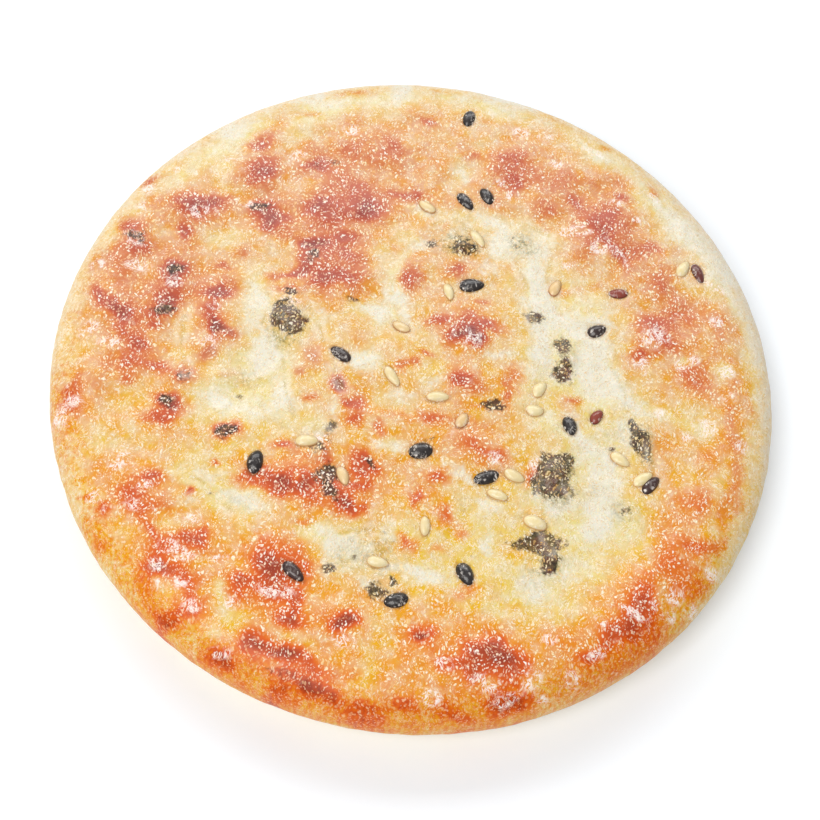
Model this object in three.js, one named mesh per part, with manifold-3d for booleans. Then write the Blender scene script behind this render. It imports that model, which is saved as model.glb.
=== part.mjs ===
// Hotteok: a round filled flatbread, pan-fried on both faces, with black and pale sesame seeds and bits
// of filling half sunk in its browned crust. It is one piece of food, so it is one solid.
// Millimetres, +Z up, origin at the middle of the flat underside, +Y towards the back.
import * as THREE from 'three';
import { mergeVertices } from 'three/addons/utils/BufferGeometryUtils.js';
import Module from 'manifold-3d';

// Driving dimensions of the bread
const RADIUS = 52; // outer edge, at the waist of the side wall
const WAIST_HEIGHT = 5.6; // height at which the bread is widest
const SHOULDER_HEIGHT = 11.2; // where the round edge meets the top
const CENTRE_HEIGHT = 13; // top of the low dome
const TOP_EDGE_WIDTH = 8.5; // how far the round edge reaches inwards, above the waist
const BOTTOM_EDGE_WIDTH = 7; // and below it
const EDGE_ROUNDNESS = 2.4; // exponent of the edge's section: 2 is an ellipse, more is squarer
const RIM_WOBBLE = 0.1; // how far the outline leaves a true circle
const SHOULDER_WOBBLE = 0.35; // how far the shoulder rises and falls on its way round
const ISLAND_RISE = 0.5; // of the strongest toasted island
const HOLLOW_DEPTH = 0.5; // of the deepest pale hollow
const LUMP_RISE = 0.7; // of the biggest bit of filling under the skin
const MOUND_FLATNESS = 3; // exponent of a mound's fall: 2 is a bell, more has a flatter top
// Slow unevenness round the edge: waves in a full turn, share of the wobble, start in radians
const EDGE_WAVES = [[2, 0.5, 0.7], [3, 0.3, 2.1], [7, 0.2, 0]];
const SHOULDER_WAVE_TURN = 1; // radians by which the shoulder's waves run ahead of the outline's

// Net of the surface
const SECTORS = 6; // each ring of the top has this many more points than the one inside it
const TOP_RINGS = 23; // rings from the centre to the shoulder
const ROWS_ABOVE_WAIST = 7;
const ROWS_BELOW_WAIST = 6;

// Toasted islands, which lay on the pan and stand proud: x, y, half length, half width,
// turn, share of the full rise
const TOASTED_ISLANDS = [
  [-13.5, 13, 6, 5, 20, 0.9], [6.5, 6, 4.5, 3.2, -20, 0.8], [-2.5, 14.5, 3.4, 2.2, 60, 0.65],
  [-15, -2.5, 2.6, 1.8, 60, 0.6], [7, -2, 3.2, 2.2, 0, 0.65], [11, -12, 5, 2.6, -10, 0.8],
  [-14, 24, 7, 5, -15, 1], [-11, 36, 5.5, 3.4, 10, 0.8], [10, 37, 5, 3.4, 20, 0.75],
  [15.5, 32, 4.5, 3, 60, 0.7], [24, 28, 6.5, 5, 50, 1], [33, 22, 4, 5.5, 10, 0.7],
  [33, 10.5, 4, 3.6, 0, 0.8], [41, 11, 4.5, 5, 0, 0.65], [41, -14.5, 3.4, 3.2, 0, 0.65],
  [-12, -22, 7, 3.4, -10, 1], [-14.5, -33, 4.4, 4, 0, 0.75], [4, -25, 5, 3, -70, 0.65],
  [-6, -40, 6, 3, 0, 0.7], [12, -41.5, 6, 3, 0, 0.75], [34, -31, 6.5, 4, 62, 1],
  [41, -21.5, 4.5, 4, 60, 0.7], [-28, 28, 4.5, 3.4, 30, 0.8], [-36, 20.5, 4.5, 3.4, -20, 0.9],
  [-43.5, 15, 3.6, 5, 15, 0.8], [-37, 6, 3.2, 6.5, 0, 0.95], [-29, 1, 3.6, 6.5, 15, 0.9],
  [-44, 2, 5, 3.2, -30, 0.8], [-40, -4, 5, 3.2, -20, 0.7], [-41, -8, 5, 2.4, 10, 0.6],
  [-33, -11.5, 3, 5.5, 10, 0.9], [-34.5, -26, 5.4, 4.2, -30, 1], [-28, -34, 5, 4.2, -30, 0.95],
  [-20, -36.5, 3.8, 2.4, -20, 0.65], [-46, -12, 3, 5, 10, 0.65], [21, 37.5, 5, 3, 0, 0.6],
];

// Pale hollows, which the pan never touched: x, y, half length, half width, turn,
// share of the full depth
const PALE_HOLLOWS = [
  [-22, -4, 7, 5, 25, 1], [-26, -10, 5, 3.5, 20, 0.9], [-15, -12, 5, 3, 0, 0.7],
  [-6, 7, 5, 3, -40, 0.75], [-3, -6.5, 5, 2.6, 0, 0.7], [9, 25.5, 7, 3.4, 0, 0.75],
  [19, 12, 6, 3.4, -60, 0.75], [22, 0, 5.5, 6, 0, 0.9], [27, -10, 4, 6, 0, 0.9],
  [26, -22, 8, 5, -10, 0.95], [22, -31, 6, 4, 30, 0.8], [2, -30, 9, 4, 0, 0.75],
  [-22, -23, 5, 3.5, -35, 0.8], [-34, 33, 6, 4, 50, 0.9], [-23, 42, 7, 2.6, 20, 0.7],
  [-22, 12, 3.4, 5, 10, 0.7], [36, 30, 5, 7, 30, 0.75], [2, 33, 4, 2.4, 50, 0.7],
  [20, 42, 6, 2.4, -20, 0.65], [-34, -1, 2, 5, 10, 0.7], [-39, -12.5, 4.5, 2.4, 30, 0.65],
];

// Bits of filling that lift the skin: x, y, half length, half width, turn, share of the rise
const FILLING_LUMPS = [
  [-19.6, 4.2, 3, 2.3, 75, 1], [4.2, 20.5, 1.7, 1.5, 0, 0.75], [11.5, 22, 2, 1.9, 0, 0.65],
  [20.6, 4.2, 2.8, 1.5, 80, 0.8], [21, -14, 2, 1.8, 60, 0.9], [32.6, -6, 2.2, 1.4, -65, 0.8],
  [-26.5, -7, 2.6, 1.6, 15, 0.9], [21.5, -26.8, 1.9, 1.5, 60, 0.8], [-1.6, -28.3, 2, 1.4, 0, 0.65],
];

// Seeds that lie bare: x, y, length, width, turn
const BLACK_SESAME = [
  [5.9, 13.9, 3.6, 2.2, 12], [-10.9, -0.8, 3.3, 2, -30], [2.3, -13.8, 3.5, 2.5, 20],
  [11.8, -16.1, 3.7, 2.1, 30], [1.9, 44.1, 2.9, 2, 80], [3.2, 28.7, 3.4, 1.9, -48],
  [6.3, 30.2, 3, 1.9, -58], [24.7, 10, 2.9, 2, 35], [22.4, -5.9, 2.9, 2.1, -68],
  [34.5, -12.9, 3.2, 1.9, 55], [-12.1, -34, 3.6, 1.9, -33], [2.1, -35.7, 3.4, 2.2, 25],
  [10.7, -30.4, 3.5, 2.2, -55], [-19.9, -19, 3.1, 2.3, 85], [38.7, 22.9, 3.4, 1.7, -65],
  [27.3, 17, 2.9, 1.7, 15], [26, -3.8, 2.4, 1.7, 60],
];
const PALE_SESAME = [
  [2.8, 12.1, 2.9, 1.5, -65], [3.5, -5.2, 3.3, 1.7, 8], [7.3, -8.3, 2.5, 1.8, 70],
  [-3.1, 5.1, 2.9, 1.6, -25], [-3.3, -3.1, 3.4, 1.6, -50], [17.5, -1.2, 2.9, 1.9, 60],
  [17.2, -4.7, 2.7, 1.9, 0], [-13.5, -14.8, 3.4, 1.9, 10], [15.5, -15.2, 3.2, 1.8, -15],
  [13.6, -18.4, 3, 1.6, -12], [18, 16, 2.8, 1.7, 70], [5.8, 22.3, 3.5, 1.6, -50],
  [33.3, -12.2, 3.3, 1.8, 45], [29.9, -9.7, 3.1, 1.8, -30], [-7.7, -19.3, 3, 1.7, -60],
  [4.4, -24.8, 2.8, 1.6, -80], [-1.2, -30.7, 3, 1.7, 0], [36.4, 23.1, 3.2, 1.9, 70],
  [19.2, -21.4, 3.6, 2.1, -12], [-2.2, 26.5, 3.1, 1.6, -30],
];
// Seeds the dough has closed over, which show as small lumps
const COVERED_SESAME = [
  [-26.5, 22.2, 3, 1.5, 10], [-43.4, 14.1, 2.8, 1.7, -20], [-36.7, 9.3, 2.4, 1.7, 10],
  [-36.8, 2.7, 2.7, 2, 10], [-19.2, 8.5, 2.9, 1.6, -10], [-32.2, -7.5, 2.6, 2, 40],
  [-34, -11.7, 2.4, 1.7, -60], [-24.8, -15.1, 3.3, 1.8, 15], [-35, 20.2, 2.8, 1.8, 20],
  [-19.4, 30.6, 2.6, 1.8, 60], [-17.6, 15, 2.7, 1.8, 70], [-10.9, 8.4, 2.4, 1.6, 0],
  [11.2, -5, 2.8, 1.8, 0], [15.3, 10.3, 2.4, 2, 0], [20.9, -24.4, 3, 1.8, 5],
  [-9.7, -19, 3.2, 2, -35],
];
const SEED_THICKNESS = 0.62; // thickness over width
const SEED_TAPER = 0.2; // how much slimmer the pointed end is than the round end
const SEED_PROUD = 0.18; // share of the thickness by which a bare seed's middle clears the crust
const COVERED_PROUD = -0.1; // the same for a covered seed, whose middle lies under the crust
const SLOPE_STEP = 0.5; // reach of the slope measured under a seed
const SEED_SIDES = 6;
const SEED_ROWS = 4;

const WELD_DISTANCE = 1e-4; // corners closer than this are one

// Finish of the browned crust
const CRUST_COLOUR = 0xdc9a52;
const CRUST_ROUGHNESS = 0.55;

const SECTION_POWER = 2 / EDGE_ROUNDNESS;
const SHOULDER_RADIUS = RADIUS - TOP_EDGE_WIDTH;
const SOLE_RADIUS = RADIUS - BOTTOM_EDGE_WIDTH;

const radians = THREE.MathUtils.degToRad;

// One soft, flat-topped mound or hollow: 1 in its middle, falling to 0 a little past its rim
function moundAt(x, y, [cx, cy, halfLength, halfWidth, turn]) {
  const angle = radians(turn);
  const along = ((x - cx) * Math.cos(angle) + (y - cy) * Math.sin(angle)) / halfLength;
  const across = ((y - cy) * Math.cos(angle) - (x - cx) * Math.sin(angle)) / halfWidth;
  return Math.exp(-(Math.hypot(along, across) ** MOUND_FLATNESS));
}

function sumOfMounds(x, y, mounds) {
  return mounds.reduce((sum, mound) => sum + mound[5] * moundAt(x, y, mound), 0);
}

// Height of the crust's relief over the smooth form
function relief(x, y) {
  const islands = ISLAND_RISE * sumOfMounds(x, y, TOASTED_ISLANDS);
  const hollows = HOLLOW_DEPTH * sumOfMounds(x, y, PALE_HOLLOWS);
  const lumps = LUMP_RISE * sumOfMounds(x, y, FILLING_LUMPS);
  return islands - hollows + lumps;
}

// Smooth height of the top, inside the shoulder and over the round edge
function smoothTop(r) {
  const inwards = Math.max(0, 1 - (r / SHOULDER_RADIUS) ** 2);
  const dome = (CENTRE_HEIGHT - SHOULDER_HEIGHT) * inwards ** 2;
  const outwards = THREE.MathUtils.clamp((r - SHOULDER_RADIUS) / TOP_EDGE_WIDTH, 0, 1);
  const rise = (1 - outwards ** EDGE_ROUNDNESS) ** (1 / EDGE_ROUNDNESS);
  return WAIST_HEIGHT + (SHOULDER_HEIGHT - WAIST_HEIGHT) * rise + dome;
}

// Slow unevenness on the way round, for the outline and for the shoulder
function wobble(angle, size) {
  return EDGE_WAVES.reduce((sum, [waves, share, start]) => (
    sum + size * share * Math.sin(waves * angle + start)), 0);
}

// A point of the crust's upper side, where edgeShare is 0 on the flat top and 1 at the waist
function topPoint(r, angle, z, edgeShare) {
  const shownRadius = r + wobble(angle, RIM_WOBBLE) * edgeShare;
  const x = shownRadius * Math.cos(angle);
  const y = shownRadius * Math.sin(angle);
  const nearness = Math.min(1, r / SHOULDER_RADIUS);
  const shoulderLift = wobble(angle + SHOULDER_WAVE_TURN, SHOULDER_WOBBLE) * nearness ** 4;
  return [x, y, z + (relief(x, y) + shoulderLift) * (1 - edgeShare)];
}

// The crust without its seeds: rings over the top, rows down the round edge, and a flat sole
function crustGeometry() {
  const points = [];
  const faces = [];
  const edgePoints = SECTORS * TOP_RINGS;
  points.push(topPoint(0, 0, smoothTop(0), 0));

  for (let ring = 1; ring <= TOP_RINGS; ring++) {
    const r = (SHOULDER_RADIUS * ring) / TOP_RINGS;
    for (let k = 0; k < SECTORS * ring; k++) {
      points.push(topPoint(r, (2 * Math.PI * k) / (SECTORS * ring), smoothTop(r), 0));
    }
  }
  const firstOf = (ring) => (ring === 0 ? 0 : 1 + (SECTORS * ring * (ring - 1)) / 2);
  const pointOf = (ring, k) => (ring === 0 ? 0 : firstOf(ring) + (k % (SECTORS * ring)));
  for (let ring = 0; ring < TOP_RINGS; ring++) {
    for (let sector = 0; sector < SECTORS; sector++) {
      for (let k = 0; k <= ring; k++) {
        const inner = sector * ring + k;
        const outer = sector * (ring + 1) + k;
        faces.push([pointOf(ring, inner), pointOf(ring + 1, outer), pointOf(ring + 1, outer + 1)]);
        if (k < ring) {
          faces.push([pointOf(ring, inner), pointOf(ring + 1, outer + 1), pointOf(ring, inner + 1)]);
        }
      }
    }
  }

  const rows = ROWS_ABOVE_WAIST + ROWS_BELOW_WAIST;
  const rowStart = (row) => firstOf(TOP_RINGS) + row * edgePoints;
  for (let row = 1; row <= rows; row++) {
    const above = row <= ROWS_ABOVE_WAIST;
    const share = above ? row / ROWS_ABOVE_WAIST : (row - ROWS_ABOVE_WAIST) / ROWS_BELOW_WAIST;
    const turn = (Math.PI / 2) * (above ? share : 1 - share);
    const outwards = Math.sin(turn) ** SECTION_POWER;
    const upwards = Math.abs(Math.cos(turn)) ** SECTION_POWER;
    for (let k = 0; k < edgePoints; k++) {
      const angle = (2 * Math.PI * k) / edgePoints;
      if (above) {
        const z = WAIST_HEIGHT + (SHOULDER_HEIGHT - WAIST_HEIGHT) * upwards;
        points.push(topPoint(SHOULDER_RADIUS + TOP_EDGE_WIDTH * outwards, angle, z, outwards));
      } else {
        const r = SOLE_RADIUS + BOTTOM_EDGE_WIDTH * outwards + wobble(angle, RIM_WOBBLE) * outwards;
        points.push([r * Math.cos(angle), r * Math.sin(angle), WAIST_HEIGHT * (1 - upwards)]);
      }
    }
    for (let k = 0; k < edgePoints; k++) {
      const next = (k + 1) % edgePoints;
      const [upper, lower] = [rowStart(row - 1), rowStart(row)];
      faces.push([upper + k, lower + k, lower + next]);
      faces.push([upper + k, lower + next, upper + next]);
    }
  }

  const soleCentre = points.push([0, 0, 0]) - 1;
  for (let k = 0; k < edgePoints; k++) {
    faces.push([soleCentre, rowStart(rows) + ((k + 1) % edgePoints), rowStart(rows) + k]);
  }
  const geometry = new THREE.BufferGeometry();
  geometry.setAttribute('position', new THREE.Float32BufferAttribute(points.flat(), 3));
  geometry.setIndex(faces.flat());
  return geometry;
}

// One sesame seed: a flat teardrop along X, turned, laid along the crust and sunk about halfway
function seedGeometry([x, y, length, width, turn], proud) {
  const seed = new THREE.SphereGeometry(0.5, SEED_SIDES, SEED_ROWS);
  seed.rotateZ(Math.PI / 2);
  const position = seed.attributes.position;
  for (let i = 0; i < position.count; i++) {
    const slimness = 1 - SEED_TAPER * (position.getX(i) + 0.5);
    position.setXYZ(i, position.getX(i) * length, position.getY(i) * width * slimness,
      position.getZ(i) * width * SEED_THICKNESS * slimness);
  }
  const r = Math.hypot(x, y);
  const slope = (smoothTop(r + SLOPE_STEP) - smoothTop(Math.max(0, r - SLOPE_STEP))) / (2 * SLOPE_STEP);
  const outwards = r > 0 ? new THREE.Vector3(x / r, y / r, 0) : new THREE.Vector3(1, 0, 0);
  const normal = new THREE.Vector3(0, 0, 1).addScaledVector(outwards, -slope).normalize();
  const tilt = new THREE.Quaternion().setFromUnitVectors(new THREE.Vector3(0, 0, 1), normal);
  seed.rotateZ(radians(turn));
  seed.applyQuaternion(tilt);
  seed.translate(x, y, smoothTop(r) + relief(x, y) + proud * SEED_THICKNESS * width);
  return seed;
}

// A closed mesh as a solid that can be joined to others
function toSolid(wasm, geometry) {
  const bare = geometry.clone();
  bare.deleteAttribute('normal');
  bare.deleteAttribute('uv');
  const merged = mergeVertices(bare, WELD_DISTANCE);
  const vertProperties = new Float32Array(merged.attributes.position.array);
  const triVerts = new Uint32Array(merged.index.array);
  return new wasm.Manifold(new wasm.Mesh({ numProp: 3, vertProperties, triVerts }));
}

function toGeometry(solid) {
  const mesh = solid.getMesh();
  const geometry = new THREE.BufferGeometry();
  geometry.setAttribute('position', new THREE.BufferAttribute(mesh.vertProperties, 3));
  geometry.setIndex(new THREE.BufferAttribute(mesh.triVerts, 1));
  geometry.computeVertexNormals();
  return geometry;
}

const wasm = await Module();
wasm.setup();

let bread = toSolid(wasm, crustGeometry());
for (const seed of [...BLACK_SESAME, ...PALE_SESAME]) {
  bread = bread.add(toSolid(wasm, seedGeometry(seed, SEED_PROUD)));
}
for (const seed of COVERED_SESAME) {
  bread = bread.add(toSolid(wasm, seedGeometry(seed, COVERED_PROUD)));
}

const crust = new THREE.MeshStandardMaterial({
  color: CRUST_COLOUR,
  roughness: CRUST_ROUGHNESS,
  metalness: 0,
});
const hotteok = new THREE.Mesh(toGeometry(bread), crust);
hotteok.name = 'hotteok';

const part = new THREE.Group();
part.add(hotteok);

export default part;
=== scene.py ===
import math

import bpy
import numpy as np
from mathutils import Matrix, Vector


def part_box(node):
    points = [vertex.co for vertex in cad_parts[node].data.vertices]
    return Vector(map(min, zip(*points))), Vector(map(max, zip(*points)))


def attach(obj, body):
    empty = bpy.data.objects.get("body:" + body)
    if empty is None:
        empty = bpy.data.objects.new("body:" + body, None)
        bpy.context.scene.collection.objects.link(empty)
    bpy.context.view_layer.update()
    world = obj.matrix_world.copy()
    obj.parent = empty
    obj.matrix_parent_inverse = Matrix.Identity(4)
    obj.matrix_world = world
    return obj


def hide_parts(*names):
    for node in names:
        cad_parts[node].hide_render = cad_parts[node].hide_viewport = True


# Hotteok: a round filled flatbread, pan-fried golden brown, with black and pale sesame in its crust.
# The crust is one fine mesh whose browning is laid down mark by mark, and each kind of seed is one
# joined mesh. Places and sizes are in millimetres, in the part's own frame, and MM turns them to metres.
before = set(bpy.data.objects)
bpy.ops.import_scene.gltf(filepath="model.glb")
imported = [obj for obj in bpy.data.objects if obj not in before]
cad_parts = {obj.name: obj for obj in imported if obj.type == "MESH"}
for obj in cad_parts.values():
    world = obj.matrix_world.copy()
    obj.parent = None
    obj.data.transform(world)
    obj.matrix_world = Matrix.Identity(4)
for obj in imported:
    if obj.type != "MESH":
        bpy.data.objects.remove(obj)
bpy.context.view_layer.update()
MM = 0.001

# ---- Sizes of the bread -------------------------------------------------------------------------
node_low, node_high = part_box("hotteok")
RADIUS = 0.5 * (node_high[0] - node_low[0]) / MM
CENTRE_HEIGHT = RADIUS / 4
WAIST_HEIGHT = 0.43 * CENTRE_HEIGHT
SHOULDER_HEIGHT = 0.86 * CENTRE_HEIGHT
TOP_EDGE_WIDTH = 8.5
BOTTOM_EDGE_WIDTH = 7
EDGE_ROUNDNESS = 2.4
SHOULDER_RADIUS = RADIUS - TOP_EDGE_WIDTH
SOLE_RADIUS = RADIUS - BOTTOM_EDGE_WIDTH
# A little less relief than the solid has, so that the blisters on it stay inside the solid's box
ISLAND_RISE = 0.4
HOLLOW_DEPTH = 0.4
LUMP_RISE = 0.6

# Distance between the crust's points, and how many stations its section is worked out at
TOP_SPACING = 0.37
EDGE_SPACING = 0.5
SOLE_SPACING = 0.9
TOP_STATIONS = 200
EDGE_STATIONS = 100

# ---- What is seen on the crust, placed mark by mark ---------------------------------------------
# Islands, hollows and lumps of filling: x, y, half length, half width, turn in degrees, share
TOASTED_ISLANDS = [
    (-13.5, 13, 6, 5, 20, 0.9), (6.5, 6, 4.5, 3.2, -20, 0.8), (-2.5, 14.5, 3.4, 2.2, 60, 0.65),
    (-15, -2.5, 2.6, 1.8, 60, 0.6), (7, -2, 3.2, 2.2, 0, 0.65), (11, -12, 5, 2.6, -10, 0.8),
    (-14, 24, 7, 5, -15, 1), (-11, 36, 5.5, 3.4, 10, 0.8), (10, 37, 5, 3.4, 20, 0.75),
    (15.5, 32, 4.5, 3, 60, 0.7), (24, 28, 6.5, 5, 50, 1), (33, 22, 4, 5.5, 10, 0.7),
    (33, 10.5, 4, 3.6, 0, 0.8), (41, 11, 4.5, 5, 0, 0.65), (41, -14.5, 3.4, 3.2, 0, 0.65),
    (-12, -22, 7, 3.4, -10, 1), (-14.5, -33, 4.4, 4, 0, 0.75), (4, -25, 5, 3, -70, 0.65),
    (-6, -40, 6, 3, 0, 0.7), (12, -41.5, 6, 3, 0, 0.75), (34, -31, 6.5, 4, 62, 1),
    (41, -21.5, 4.5, 4, 60, 0.7), (-28, 28, 4.5, 3.4, 30, 0.8), (-36, 20.5, 4.5, 3.4, -20, 0.9),
    (-43.5, 15, 3.6, 5, 15, 0.8), (-37, 6, 3.2, 6.5, 0, 0.95), (-29, 1, 3.6, 6.5, 15, 0.9),
    (-44, 2, 5, 3.2, -30, 0.8), (-40, -4, 5, 3.2, -20, 0.7), (-41, -8, 5, 2.4, 10, 0.6),
    (-33, -11.5, 3, 5.5, 10, 0.9), (-34.5, -26, 5.4, 4.2, -30, 1), (-28, -34, 5, 4.2, -30, 0.95),
    (-20, -36.5, 3.8, 2.4, -20, 0.65), (-46, -12, 3, 5, 10, 0.65), (21, 37.5, 5, 3, 0, 0.6),
]
PALE_HOLLOWS = [
    (-22, -4, 7, 5, 25, 1), (-26, -10, 5, 3.5, 20, 0.9), (-15, -12, 5, 3, 0, 0.7),
    (-6, 7, 5, 3, -40, 0.75), (-3, -6.5, 5, 2.6, 0, 0.7), (9, 25.5, 7, 3.4, 0, 0.75),
    (19, 12, 6, 3.4, -60, 0.75), (22, 0, 5.5, 6, 0, 0.9), (27, -10, 4, 6, 0, 0.9),
    (26, -22, 8, 5, -10, 0.95), (22, -31, 6, 4, 30, 0.8), (2, -30, 9, 4, 0, 0.75),
    (-22, -23, 5, 3.5, -35, 0.8), (-34, 33, 6, 4, 50, 0.9), (-23, 42, 7, 2.6, 20, 0.7),
    (-22, 12, 3.4, 5, 10, 0.7), (36, 30, 5, 7, 30, 0.75), (2, 33, 4, 2.4, 50, 0.7),
    (20, 42, 6, 2.4, -20, 0.65), (-34, -1, 2, 5, 10, 0.7), (-39, -12.5, 4.5, 2.4, 30, 0.65),
]
FILLING_LUMPS = [
    (-19.6, 4.2, 3, 2.3, 75, 1), (4.2, 20.5, 1.7, 1.5, 0, 0.75), (11.5, 22, 2, 1.9, 0, 0.65),
    (20.6, 4.2, 2.8, 1.5, 80, 0.8), (21, -14, 2, 1.8, 60, 0.9), (32.6, -6, 2.2, 1.4, -65, 0.8),
    (-26.5, -7, 2.6, 1.6, 15, 0.9), (21.5, -26.8, 1.9, 1.5, 60, 0.8), (-1.6, -28.3, 2, 1.4, 0, 0.65),
]

# Broad zones of the browning: x, y, half length, half width, turn, step in the toasting
BROAD_ZONES = [
    (-37, 8, 26, 12, 95, 0.13), (-15, 31, 17, 9, 5, 0.08), (23, 29, 17, 8, -47, 0.12),
    (41, 5, 22, 7, 95, 0.06), (37, -28, 15, 8, 62, 0.22), (6, -43, 27, 8, 0, 0.11),
    (-27, -34, 20, 8, -45, 0.05), (12, -12, 8, 5, 0, 0.08), (-10, -21, 12, 6, -10, 0.08),
    (-48.5, 4, 9, 2.4, 95, 0.24), (-28, 41, 9, 2.6, 28, 0.24), (-16, 46.6, 5, 1.8, 15, 0.28),
    (22, 45, 10, 2, -24, 0.26), (33, 37, 6, 2.4, -45, 0.26), (45, 16, 9, 1.8, 105, 0.16),
    (48, -5, 9, 2.2, 92, 0.26), (41.5, -25, 4, 2.6, 60, 0.2), (22, 2, 20, 8, 100, -0.27),
    (22, -24, 14, 10, -20, -0.2), (-23, -6, 12, 8, 50, -0.22), (9, 25, 11, 5, -10, -0.14),
    (1, -29, 13, 6, 0, -0.12), (-35, 34, 11, 7, 45, -0.2), (-22, 43, 13, 5, 22, -0.20),
    (-23, 13, 9, 4, 80, -0.14), (37, 31, 13, 7, -48, -0.22), (20, 44, 14, 5, -20, -0.18),
    (-34, -1, 8, 3, 95, -0.18), (-40, -12, 7, 4, 30, -0.12), (-22, -23, 9, 5, -35, -0.22),
    (1, 33, 5, 3, 60, -0.06), (-5, -6, 7, 3.5, 0, -0.06), (-6, 8, 6, 3.5, -40, -0.14),
    (0, -18, 8, 3, 0, 0.02), (41, -13, 8, 3.4, 95, -0.16), (39, -1, 5, 3.4, 0, -0.14),
    (32, -20, 7, 2.6, -60, -0.14), (-40, -20, 7, 5, -30, -0.08), (-17, 16, 6, 4, 0, 0.05),
    (-25.5, 20, 5, 2.5, -50, 0.05), (-36, 33.5, 5, 3, 45, 0.06), (-38.5, 29.5, 5.5, 3, 50, 0.1),
    (-41, 1, 5, 5, 0, 0.05), (24, 0, 5, 6, 0, 0.05), (-14.5, -42, 5, 3, -20, 0.08),
    (-10, -46.5, 7, 2.5, -12, 0.04), (14, -46, 5, 2, 20, 0.08), (36.5, 31.5, 5, 4, -45, 0.1),
    (0, 48.8, 9, 1.6, 0, 0.08), (22, 34, 12, 4, -40, 0.05), (9, 39, 5, 3, -40, 0.05),
    (30, 37.5, 2.5, 2.5, 0, 0.12), (-8, -8.5, 3, 2.5, -50, 0.08), (-47, 8, 3, 4, 0, 0.08),
    (-46, -14, 4, 4, 0, 0.1), (-17, -26.5, 4.5, 2.5, 0, 0.12), (-19, 28.5, 4, 2, -20, 0.12),
    (9, 24, 5, 2.5, -20, 0.08), (14.5, 42.5, 4, 3, -20, 0.1), (-15.5, 41.5, 3, 3, 0, 0.1),
    # The zone at x 48.5, y -4 pales the right edge: painted light where shade falls on that side
    (35.5, 26.5, 3, 2, 0, 0.1), (48.5, -4, 1.6, 6, 0, -0.1), (0, 15, 5, 2, -20, -0.06),
    (-10, -49, 8, 2, -12, 0.1), (10, -49.5, 5, 1.4, 8, 0.08), (-38, -36, 2, 4, 45, -0.08),
    (41, -24, 3.4, 2.6, 60, -0.08), (45.5, -19, 1.4, 4, -20, 0.08), (-21, 13, 3, 8, 10, 0.08),
    (34, 9, 3.4, 5, 10, 0.04), (39, -22, 3, 5, 0, 0.06), (34, -33, 4, 4, 0, 0.06),
    (-12, -34, 2.4, 2, 0, 0.06), (-15, -44.5, 2, 3, 0, 0.08), (-15, 20, 5, 3, -30, 0.08),
    (-42, -1.5, 6, 4, -20, 0.05), (-44, 12, 3.5, 5, 0, 0.05), (-37, 6, 3, 5, 0, 0.06),
    (-25, 21, 4, 3, 0, 0.07), (-30, 28, 4, 3, 0, 0.06), (-35, 20, 6, 3, 0, 0.04), (-12, 34, 6, 3, 0, 0.04),
    (-12, 11.5, 4, 2.5, 0, 0.08), (-42, 0, 5, 4, -20, 0.04), (-39, -5, 2.4, 2, 0, 0.06),
    (-24, -12, 4, 2, 0, -0.03),
]

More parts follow.
